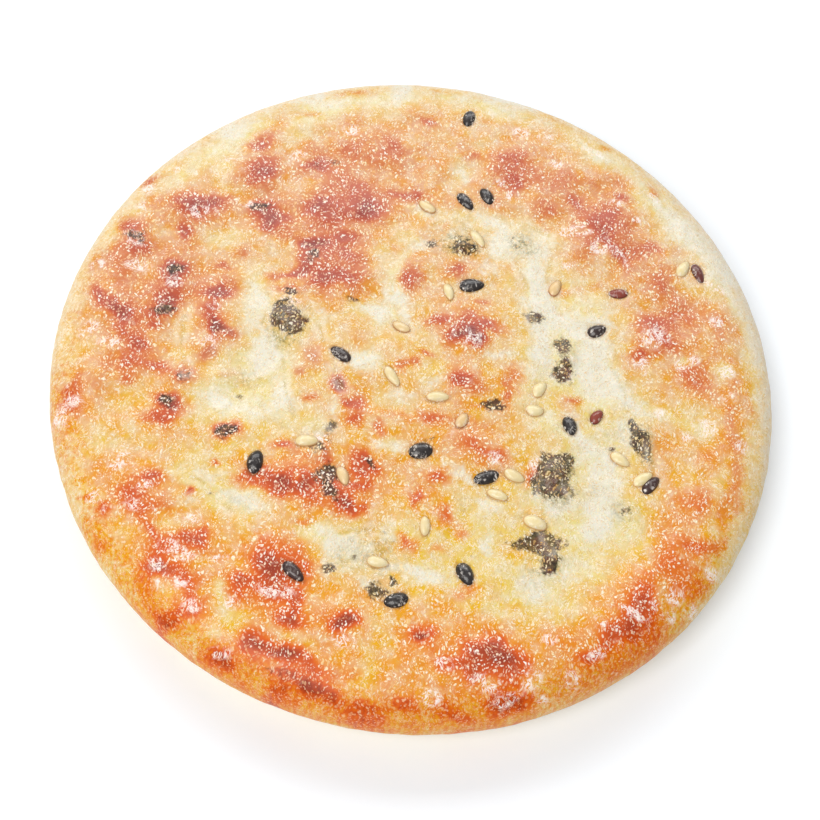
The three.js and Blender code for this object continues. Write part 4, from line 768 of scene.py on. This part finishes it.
def filling_under_skin(tree, place, fields, skin, milk_noise):
    """The skin's colour with olive filling and charred seeds showing through, and the shade round each
    bare seed. Also how dark the filling is."""
    speckle = add_node(tree, "TexNoise",
                       {"Vector": place, "Scale": per_metre(SPECKLE_SIZE), "Detail": 3.0, "Roughness": 0.7})
    olive = add_node(tree, "ValToRGB", {"Fac": speckle}, [
        (0.35, "#6e6634"), (0.65, "#cfc68c"), (0.5, "#a89c5a")])
    herb_fleck = add_node(tree, "MapRange", {"Value": speckle, "From Min": 0.55, "From Max": 0.42,
                                             "To Min": 0.5, "To Max": 1.05})
    herb_share = add_node(tree, "Math", {0: fields["herb"], 1: herb_fleck}, operation="MULTIPLY")
    tinted = add_node(tree, "Mix", {"Factor": herb_share, "A": skin, "B": olive}, data_type="RGBA")
    char = add_node(tree, "ValToRGB", {"Fac": speckle}, [
        (0.35, "#17110a"), (0.7, "#76643a"), (0.5, "#3c3016")])
    reddened = add_node(tree, "MapRange", {"Value": milk_noise, "From Min": 0.45, "From Max": 0.65,
                                           "To Max": 0.75})
    warm_char = add_node(tree, "Mix", {"Factor": reddened, "A": char, "B": linear("#642a1e")},
                         data_type="RGBA")
    speckle_step = add_node(tree, "MapRange", {"Value": speckle, "From Min": 0.3, "From Max": 0.7,
                                               "To Min": 0.35, "To Max": -0.35})
    dark_edge = add_node(tree, "Math", {0: fields["dark"], 1: speckle_step}, operation="ADD")
    dark_share = add_node(tree, "MapRange", {"Value": dark_edge, "From Min": 0.36, "From Max": 0.8,
                                             "To Max": 0.94})
    filled = add_node(tree, "Mix", {"Factor": dark_share, "A": tinted, "B": warm_char}, data_type="RGBA")
    # Painted shade in the gap round each bare seed
    seed_gap_shaded = add_node(tree, "Mix", {"Factor": fields["crevice"], "A": filled, "B": linear("#9a5a2a")},
                       data_type="RGBA")
    return seed_gap_shaded, dark_share


def oil_flecks_and_painted_glints(tree, flow, fields, browning, dark_share):
    """Flecks on the blisters, partly pale dough and partly painted glints of oil, stronger on brown dough
    and on filling: their share, their colour and the larger ones' height."""
    dots, dot_number = flecks(tree, flow, FLECK_SPACING)
    fine_dots, _ = flecks(tree, flow, FINE_FLECK_SPACING)
    fine = add_node(tree, "Math", {0: fine_dots, 1: 0.85}, operation="MULTIPLY")
    grain = add_node(tree, "Math", {0: dots, 1: fine}, operation="MAXIMUM")
    strength = add_node(tree, "MapRange", {"Value": browning, "From Min": 0.15, "From Max": 0.5,
                                           "To Min": 0.45, "To Max": 1.0})
    on_filling = add_node(tree, "Math", {0: dark_share, 1: 0.9}, operation="MULTIPLY")
    strength_here = add_node(tree, "Math", {0: strength, 1: on_filling}, operation="MAXIMUM")
    glinting_flecks = add_node(tree, "Math", {0: grain, 1: strength_here}, operation="MULTIPLY")
    calm_side = add_node(tree, "MapRange", {"Value": fields["side"], "To Min": 1.0, "To Max": 0.65})
    fleck_and_glint_share = add_node(tree, "Math", {0: glinting_flecks, 1: calm_side}, operation="MULTIPLY")

    # The flecks' colours run up to near white: painted glints of oil on the blisters, besides pale dough
    gold_fleck = add_node(tree, "ValToRGB", {"Fac": dot_number}, [
        (0.15, "#eeb660"), (0.85, "#fff6de"), (0.5, "#fae2ac")])
    pink_fleck = add_node(tree, "ValToRGB", {"Fac": dot_number}, [
        (0.15, "#e8a67c"), (0.85, "#fff4ea"), (0.5, "#f8dcc2")])
    deep_brown = add_node(tree, "MapRange", {"Value": browning, "From Min": 0.45, "From Max": 0.7})
    skin_fleck = add_node(tree, "Mix", {"Factor": deep_brown, "A": gold_fleck, "B": pink_fleck},
                          data_type="RGBA")
    edge_share = add_node(tree, "Math", {0: fields["low_edge"], 1: 0.6}, operation="MULTIPLY")
    fleck_and_glint_colour = add_node(tree, "Mix", {"Factor": edge_share, "A": skin_fleck, "B": linear("#f4b468")},
                           data_type="RGBA")
    return fleck_and_glint_share, fleck_and_glint_colour, dots


def painted_glints_and_lines(tree, flow, fields, browning, dark_share, skin):
    """The skin's colour with fine tan lines where it is pale, with white lines there that are painted glints,
    with painted shade and painted highlights along the folds, with beads of oil partly painted as glints,
    and with wet clusters of painted glints. Also the height of the beads."""
    fleck_and_glint_share, fleck_and_glint_colour, bead_height = oil_flecks_and_painted_glints(tree, flow, fields, browning, dark_share)
    not_brown = add_node(tree, "MapRange", {"Value": browning, "From Min": 0.6, "From Max": 0.3})
    not_dark = add_node(tree, "MapRange", {"Value": dark_share, "To Min": 1.0, "To Max": 0.1})
    clear_skin = add_node(tree, "Math", {0: not_brown, 1: not_dark}, operation="MULTIPLY")
    tan_strokes = strokes(tree, flow, STROKE_SIZE, 0.035, 0.9)
    tan_lines = add_node(tree, "Math", {0: tan_strokes, 1: clear_skin}, operation="MULTIPLY")
    other_flow = add_node(tree, "Mapping", {"Vector": flow, "Location": (0.3, 0.2, 0.1)})
    # White lines on the pale skin: painted glints of oil
    painted_glint_strokes = strokes(tree, other_flow, STROKE_SIZE, 0.045, 0.9)
    painted_glint_lines = add_node(tree, "Math", {0: painted_glint_strokes, 1: clear_skin}, operation="MULTIPLY")
    # Clusters of painted glints where the skin is wet
    cluster_glint_strokes = strokes(tree, other_flow, GLINT_STROKE_SIZE, 0.11, 1.0)
    in_cluster = add_node(tree, "MapRange", {"Value": fields["glint"], "From Min": 0.1, "From Max": 0.4})
    cluster_glints_here = add_node(tree, "Math", {0: cluster_glint_strokes, 1: in_cluster}, operation="MULTIPLY")
    painted_cluster_glints = add_node(tree, "Math", {0: cluster_glints_here, 1: not_dark}, operation="MULTIPLY")

    # each layer over the ones before it: where it lies, its strength and its colour
    colour = skin
    # The fold layer is painted shade in each fold, and the layer beside it is a painted highlight
    for where, strength, layer_colour in (
            (tan_lines, 0.6, linear("#c9a058")), (fields["fold"], 0.5, linear("#a8924c")),
            (fields["fold_highlight"], 0.6, linear("#f6f0e2")), (painted_glint_lines, 0.85, linear("#f5ecd8")),
            (fleck_and_glint_share, 1.0, fleck_and_glint_colour), (painted_cluster_glints, 0.9, linear("#fdf0ea"))):
        share = add_node(tree, "Math", {0: where, 1: strength}, operation="MULTIPLY")
        colour = add_node(tree, "Mix", {"Factor": share, "A": colour, "B": layer_colour}, data_type="RGBA")
    return colour, bead_height


def pan_fried_crust():
    """Wheat dough fried in oil: browned protein and sugar from cream to red-brown, a skin of tiny blisters
    with pale flecks and painted glints of oil, and slightly translucent where it stayed pale."""
    material, tree = new_material("pan_fried_wheat_crust")
    place = add_node(tree, "TexCoord", {}).outputs["Object"]
    fields = {name: add_node(tree, "Attribute", {}, attribute_name=name).outputs["Fac"]
              for name in ("toast", "thin", "milk", "dark", "herb", "glint", "crevice", "fold", "fold_highlight",
                           "side", "low_side")}
    fields["low_edge"] = add_node(tree, "Math", {0: fields["side"], 1: fields["low_side"]},
                                  operation="MULTIPLY")
    browning, browned = browned_dough(tree, place, fields)
    skin, milk_noise = pale_skin(tree, place, fields, browning, browned)
    filled, dark_share = filling_under_skin(tree, place, fields, skin, milk_noise)
    flow = swirled(tree, place)
    glinting, bead_height = painted_glints_and_lines(tree, flow, fields, browning, dark_share, filled)

    pores = add_node(tree, "TexNoise", {"Vector": place, "Scale": per_metre(PORE_SIZE), "Detail": 1.0})
    relief = add_node(tree, "Math", {0: bead_height, 1: pores}, operation="ADD")
    bump = add_node(tree, "Bump", {"Height": relief, "Strength": 0.5, "Distance": BUMP_DEPTH * MM})
    # the side hardly touched the oil, so it is duller
    oil_film = add_node(tree, "MapRange", {"Value": fields["side"], "To Min": 0.2, "To Max": 0.04})
    gloss = add_node(tree, "MapRange", {"Value": fields["side"], "To Min": 0.5, "To Max": 0.25})
    surface = add_node(tree, "BsdfPrincipled", {
        "Base Color": glinting, "Roughness": 0.42, "IOR": 1.4, "Specular IOR Level": gloss, "Normal": bump,
        "Subsurface Weight": 0.1, "Subsurface Radius": (1.0, 0.5, 0.25), "Subsurface Scale": 0.6 * MM,
        "Coat Weight": oil_film, "Coat Roughness": 0.2, "Coat Normal": bump})
    add_node(tree, "OutputMaterial", {"Surface": surface})
    return material


def sesame_hull(name, body, sheen, brown, brown_share, rim, brown_rim, glint_share, roughness):
    """Whole sesame in its thin hull, with a dark line where it meets the crust, pitted, with a painted sheen
    and painted glints of oil.
    """
    material, tree = new_material(name)
    place = add_node(tree, "TexCoord", {}).outputs["Object"]
    outwards = add_node(tree, "Attribute", {}, attribute_name="outwards").outputs["Fac"]
    brownness = add_node(tree, "Attribute", {}, attribute_name="brownness").outputs["Fac"]
    pits = add_node(tree, "TexNoise", {"Vector": place, "Scale": per_metre(HULL_PIT_SIZE), "Detail": 2.0})
    # The sheen colour is a painted sheen, mottled over the hull
    sheen_share = add_node(tree, "MapRange", {"Value": pits, "From Min": 0.35, "From Max": 0.65, "To Max": 0.5})
    sheen_mottled = add_node(tree, "Mix", {"Factor": sheen_share, "A": linear(body), "B": linear(sheen)},
                      data_type="RGBA")
    toasted = add_node(tree, "Math", {0: brownness, 1: brown_share}, operation="MULTIPLY")
    toned = add_node(tree, "Mix", {"Factor": toasted, "A": sheen_mottled, "B": linear(brown)}, data_type="RGBA")
    rim_colour = add_node(tree, "Mix", {"Factor": brownness, "A": linear(rim), "B": linear(brown_rim)},
                          data_type="RGBA")
    rim_share = add_node(tree, "MapRange", {"Value": outwards, "From Min": 0.86, "From Max": 0.96,
                                            "To Max": 0.8})
    lined = add_node(tree, "Mix", {"Factor": rim_share, "A": toned, "B": rim_colour}, data_type="RGBA")

    flow = swirled(tree, place)
    dots, _ = flecks(tree, flow, SEED_FLECK_SPACING, 0.34, 0.2)
    lines = strokes(tree, flow, SEED_STROKE_SIZE, 0.03, 0.3)
    glints = add_node(tree, "Math", {0: dots, 1: lines}, operation="MAXIMUM")
    near_rim = add_node(tree, "MapRange", {"Value": outwards, "From Min": 0.3, "From Max": 0.8,
                                           "To Min": 0.2})
    glint_here = add_node(tree, "Math", {0: glints, 1: near_rim}, operation="MULTIPLY")
    glint_mix = add_node(tree, "Math", {0: glint_here, 1: glint_share}, operation="MULTIPLY")
    # Painted glints of oil, more of them towards the rim
    glint_painted_hull = add_node(tree, "Mix", {"Factor": glint_mix, "A": lined, "B": linear("#fdf6ee")}, data_type="RGBA")
    relief = add_node(tree, "Math", {0: pits, 1: glint_mix}, operation="ADD")
    bump = add_node(tree, "Bump", {"Height": relief, "Strength": 0.6, "Distance": BUMP_DEPTH * MM})
    surface = add_node(tree, "BsdfPrincipled", {
        "Base Color": glint_painted_hull, "Roughness": roughness, "IOR": 1.47, "Normal": bump,
        "Coat Weight": 0.5, "Coat Roughness": 0.2, "Coat Normal": bump})
    add_node(tree, "OutputMaterial", {"Surface": surface})
    return material


def light_table():
    """Matt white acrylic of a light table, lit faintly from below, which keeps it bright round the bread."""
    material, tree = new_material("matt_white_acrylic")
    surface = add_node(tree, "BsdfPrincipled", {
        "Base Color": linear("#f3f7fb"), "Roughness": 0.9, "Emission Color": linear("#e2efff"),
        "Emission Strength": 0.12})
    add_node(tree, "OutputMaterial", {"Surface": surface})
    return material


# ---- The crust ----------------------------------------------------------------------------------
# How brown the dough is, from 0 for raw to 1 for nearly burnt
BASE_TOAST = 0.365
DEEP_TOAST = 0.55
SOLE_TOAST = 0.5
SIDE_TOAST = 0.16
# The sole's browning climbs this high up the side, and the edge of the top is paler than the rest by a
# step beyond this radius, except in front of BROWN_FRONT
SOLE_REACH = 1.2
PALE_BAND_RADIUS = 44.5
PALE_BAND_WIDTH = 4
PALE_BAND_STEP = 0.3
BROWN_FRONT = -26
BROWN_FRONT_BLEND = 14
# The browning turns from reddish to golden in front of this place
GOLDEN_BACK = 16
GOLDEN_BLEND = 50
# The shade in the gap round a seed
CREVICE_OFFSET = 0.08
CREVICE_WIDTH = 0.1
# Points lower than this lie on the table and stay there. The edge is drawn in by this much, so that its
# blisters stay inside the solid's box, and it has this share of the top's relief.
TABLE_CONTACT = 0.05
EDGE_SHRINK = 0.12
EDGE_RELIEF = 0.15


def crust_height(x, y):
    """Height of the top without its blisters."""
    return smooth_top(np.hypot(x, y)) + broad_relief(x, y)


def toasting(points, upper_share):
    """How brown the dough is: the marks on top, a pale band at the edge but in front, a patchy sole."""
    x, y = wandering(points)
    toast = BASE_TOAST + patches(x, y, BROAD_ZONES) + patches(x, y, TOASTED_MARKS + PALE_MARKS)
    toast += 0.07 * noise(points, 5, 21) + 0.045 * noise(points, 2.2, 22) + 0.02 * noise(points, 1, 23)
    toast += 0.2 * np.clip(toast - DEEP_TOAST, 0, 0.5)
    radius = np.hypot(points[:, 0], points[:, 1])
    at_edge = np.clip((radius - PALE_BAND_RADIUS) / PALE_BAND_WIDTH, 0, 1)
    behind = np.clip((points[:, 1] + 0.25 * points[:, 0] - BROWN_FRONT) / BROWN_FRONT_BLEND, 0, 1)
    top = toast - PALE_BAND_STEP * at_edge * behind
    sole = SOLE_TOAST + 0.2 * noise(points, 9, 31) + 0.12 * noise(points, 4, 32)
    sole += 0.06 * noise(points, 1.5, 33)
    side = SIDE_TOAST + 0.08 * noise(points, 3, 34)
    sole_share = np.clip((SOLE_REACH - points[:, 2]) / SOLE_REACH, 0, 1)
    lower = side * (1 - sole_share) + sole * sole_share
    return top * upper_share + lower * (1 - upper_share)


def make_crust():
    """The whole crust: its fine mesh, with the fields that colour it."""
    points, faces = crust_net()
    x, y, height = points.T
    radius = np.hypot(x, y)
    is_top = height > WAIST_HEIGHT
    off_table = height > TABLE_CONTACT
    upper_share = np.clip((height - WAIST_HEIGHT * 0.3) / (WAIST_HEIGHT * 0.5), 0, 1)
    wander_x, wander_y = wandering(points)
    half_x, half_y = 0.5 * (x + wander_x), 0.5 * (y + wander_y)
    off_black = seed_distance(x, y, BLACK_SESAME)
    off_pale = seed_distance(x, y, PALE_SESAME)
    off_seed = np.minimum(off_black, off_pale)
    off_fold = fold_distance(0.4 * x + 0.6 * wander_x, 0.4 * y + 0.6 * wander_y)
    fold_share = np.clip(0.5 + 1.2 * noise(points, 1.6, 51), 0, 1)
    black_crevice = 0.7 * bell(off_black, CREVICE_OFFSET, CREVICE_WIDTH)
    pale_crevice = 0.35 * bell(off_pale, CREVICE_OFFSET, CREVICE_WIDTH)

    fields = {
        "toast": toasting(points, upper_share),
        "thin": np.clip(patches(wander_x, wander_y, THIN_SKIN), 0, 1) * is_top,
        "dark": 1.25 * patches(half_x, half_y, DARK_PATCHES) * is_top,
        "herb": np.clip(patches(wander_x, wander_y, HERB_PATCHES), 0, 0.8) * is_top,
        "side": np.clip((radius - 0.9 * RADIUS) / (0.06 * RADIUS), 0, 1) * off_table,
        "glint": np.clip(patches(x, y, GLINT_CLUSTERS, 1.0), 0, 1) * is_top,
        "crevice": np.maximum(black_crevice, pale_crevice) * is_top,
        "milk": np.clip(patches(wander_x, wander_y, MILKY_PATCHES), 0, 1) * (height > 0.4 * WAIST_HEIGHT),
        # Painted shade along each fold line, and a painted highlight beside it
        "fold": bell(off_fold, 0, 0.3) * fold_share * 0.6 * is_top,
        "fold_highlight": bell(off_fold, 0.7, 0.35) * fold_share * 0.5 * is_top,
        "low_side": np.clip((GOLDEN_BACK - y + 0.15 * x) / GOLDEN_BLEND, 0, 1),
    }

    top_weight = np.clip((height - WAIST_HEIGHT) / (SHOULDER_HEIGHT - WAIST_HEIGHT), 0, 1)
    blisters = 0.09 * noise(points, 2.4, 41) + 0.05 * noise(points, 1.2, 42)
    moat = -0.08 * bell(off_seed, 0.1, 0.3) - 0.3 * np.clip(-off_seed, 0, 0.6)
    fold = -0.03 * bell(off_fold, 0, 0.5)
    lift = broad_relief(x, y) * top_weight + blisters + (moat + fold) * top_weight
    outwards = np.stack([x, y], 1) / np.maximum(radius, 1e-6)[:, None]
    shaped = points.copy()
    shaped[:, 2] += np.where(off_table, lift * np.maximum(top_weight, EDGE_RELIEF), 0)
    shaped[:, :2] += outwards * (np.where(off_table, blisters - EDGE_SHRINK, 0) * (1 - top_weight))[:, None]
    return add_mesh("crust", shaped, faces, pan_fried_crust(), fields)


# ---- The sesame ---------------------------------------------------------------------------------
SEED_SIDES = 28
SEED_RINGS = np.array([0.3, 0.55, 0.75, 0.86, 0.93, 0.98, 1.0])
SEED_UNEVENNESS = 0.03
# Heights as shares of a seed's width, lengths in mm, and the tilt in degrees
SEED_DOME = 0.26
SEED_DEPTH = 0.3
SEED_LIFT = 0.04
SEED_NOD = 4
GROUND_STEP = 0.9


def seed_shell(length, width, rng):
    """Points of one seed lying level: its top, the rings of its low dome, its buried part, its bottom."""
    turn = np.linspace(0, 2 * math.pi, SEED_SIDES, endpoint=False)
    uneven = 1 + SEED_UNEVENNESS * np.sin(2 * turn + rng.uniform(0, 6))
    uneven = uneven + SEED_UNEVENNESS * np.sin(3 * turn + rng.uniform(0, 6))
    across = np.sin(turn) * (1 - SEED_TAPER * (np.cos(turn) + 1) / 2) * uneven
    heights = SEED_DOME * (1 - SEED_RINGS ** 3)
    grid = np.zeros((len(SEED_RINGS) + 2, SEED_SIDES, 3))
    for index, (ring, height) in enumerate(zip(SEED_RINGS, heights)):
        grid[index, :, 0] = 0.5 * length * ring * np.cos(turn) * uneven
        grid[index, :, 1] = 0.5 * width * ring * across
        grid[index, :, 2] = height * width
    grid[-2] = grid[-3] - (0, 0, SEED_DEPTH)
    grid[-1] = grid[-3] * (0.5, 0.5, 0) - (0, 0, 1.5 * SEED_DEPTH)
    return np.concatenate([[(0, 0, SEED_DOME * width)], grid.reshape(-1, 3), [(0, 0, -1.6 * SEED_DEPTH)]])


def seated(shell, centre_x, centre_y, turn, nod):
    """The seed's points where it lies: turned, tilted with the crust and let into it."""
    ground = [crust_height(np.array(centre_x + dx * GROUND_STEP), np.array(centre_y + dy * GROUND_STEP))
              for dx, dy in ((0, 0), (1, 0), (-1, 0), (0, 1), (0, -1))]
    normal = Vector((ground[2] - ground[1], ground[4] - ground[3], 2 * GROUND_STEP)).normalized()
    tilt = Vector((0, 0, 1)).rotation_difference(normal).to_matrix()
    spin = Matrix.Rotation(math.radians(turn), 3, "Z")
    rock = Matrix.Rotation(math.radians(nod), 3, "Y")
    turned = shell @ np.array(tilt @ spin @ rock).T
    return turned + (centre_x, centre_y, float(np.mean(ground)) + SEED_LIFT)


def seed_faces(start):
    """Faces of one closed seed whose points begin at this index."""
    first = start + 1
    last = first + (len(SEED_RINGS) + 1) * SEED_SIDES
    faces = [(start, first + k, first + (k + 1) % SEED_SIDES) for k in range(SEED_SIDES)]
    for ring in range(first, last, SEED_SIDES):
        for k in range(SEED_SIDES):
            a, b = ring + k, ring + (k + 1) % SEED_SIDES
            faces.append((a, a + SEED_SIDES, b + SEED_SIDES, b))
    faces.extend((last + SEED_SIDES, last + (k + 1) % SEED_SIDES, last + k) for k in range(SEED_SIDES))
    return faces


def sesame_mesh(name, rows, material, seed):
    """All seeds of one kind in one mesh, each a low pointed dome let into the crust, closed underneath."""
    rng = np.random.default_rng(seed)
    points, faces, outwards, brownness = [], [], [], []
    for centre_x, centre_y, length, width, turn, brown in rows:
        faces.extend(seed_faces(len(points)))
        shell = seed_shell(length, width, rng)
        nod = rng.uniform(-SEED_NOD, SEED_NOD)
        points.extend(seated(shell, centre_x, centre_y, turn, nod).tolist())
        outwards.extend([0.0] + np.repeat([*SEED_RINGS, 1, 1], SEED_SIDES).tolist() + [1.0])
        brownness.extend([brown] * len(shell))
    return add_mesh(name, points, faces, material, {"outwards": outwards, "brownness": brownness})


# ---- The bread ----------------------------------------------------------------------------------
crust = make_crust()
black_hull = sesame_hull("black_sesame_hull", body="#231e1d", sheen="#423c3b", brown="#8e4032",
                         brown_share=1.0, rim="#1e1412", brown_rim="#5a1c14", glint_share=0.75,
                         roughness=0.35)
pale_hull = sesame_hull("pale_sesame_hull", body="#ecdaa2", sheen="#f3e6c0", brown="#dc9850",
                        brown_share=0.4, rim="#cf9a56", brown_rim="#a04c20", glint_share=0.45,
                        roughness=0.4)
black_sesame = sesame_mesh("black_sesame", BLACK_SESAME, black_hull, 51)
pale_sesame = sesame_mesh("pale_sesame", PALE_SESAME, pale_hull, 52)
for piece, slot in ((crust, "crust"), (black_sesame, "black_sesame"), (pale_sesame, "pale_sesame")):
    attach(piece, "root")
    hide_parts("hotteok")

# ---- Table, light and camera --------------------------------------------------------------------
# The table lies a hair below the sole, so that the two faces don't share one plane. Sizes are in metres.
TABLE_HALF = 1.5
TABLE_GAP = 0.1 * MM
table_mesh = bpy.data.meshes.new("table")
table_mesh.from_pydata([(-TABLE_HALF, -TABLE_HALF, 0), (TABLE_HALF, -TABLE_HALF, 0),
                        (TABLE_HALF, TABLE_HALF, 0), (-TABLE_HALF, TABLE_HALF, 0)], [], [(0, 1, 2, 3)])
table_mesh.materials.append(light_table())
table = bpy.data.objects.new("table", table_mesh)
table.location.z = -TABLE_GAP
bpy.context.scene.collection.objects.link(table)


def add_softbox(name, place, size, power, colour):
    """A rectangular softbox that faces the bread: place and size in metres, power in watts."""
    light = bpy.data.lights.new(name, "AREA")
    light.shape = "RECTANGLE"
    light.size, light.size_y = size
    light.energy = power
    light.color = linear(colour)[:3]
    lamp = bpy.data.objects.new(name, light)
    lamp.location = place
    lamp.rotation_euler = (-Vector(place)).to_track_quat("-Z", "Y").to_euler()
    bpy.context.scene.collection.objects.link(lamp)


scene = bpy.context.scene
world = bpy.data.worlds.new("studio")
world.use_nodes = True
world.node_tree.nodes["Background"].inputs["Color"].default_value = linear("#fbfcff")
world.node_tree.nodes["Background"].inputs["Strength"].default_value = 0.3
scene.world = world
add_softbox("back_softbox", (-0.16, 0.82, 0.74), (1.4, 0.45), 8.0, "#ffffff")
add_softbox("front_softbox", (-0.3, -0.5, 0.82), (0.6, 0.6), 6.9, "#fffcf8")

scene.view_settings.view_transform = "Standard"

# The camera stands in front of the bread, well above it, and is rolled, so that the disc's long axis
# falls to the right
LENS = 85
ELEVATION = math.radians(62.295)
ROLL = math.radians(8.983)
DISTANCE = 276.445 * MM
AIM = Vector((-0.052, -4.575, 6.5)) * MM
back = Vector((0, -math.cos(ELEVATION), math.sin(ELEVATION)))
right = Vector((1, 0, 0))
up = back.cross(right)
rolled_right = math.cos(ROLL) * right + math.sin(ROLL) * up
rolled_up = math.cos(ROLL) * up - math.sin(ROLL) * right
camera_data = bpy.data.cameras.new("camera")
camera_data.lens = LENS
camera_data.clip_start = 0.01
camera = bpy.data.objects.new("camera", camera_data)
camera.location = AIM + DISTANCE * back
camera.rotation_mode = "QUATERNION"
camera.rotation_quaternion = Matrix((rolled_right, rolled_up, back)).transposed().to_quaternion()
scene.collection.objects.link(camera)
scene.camera = camera
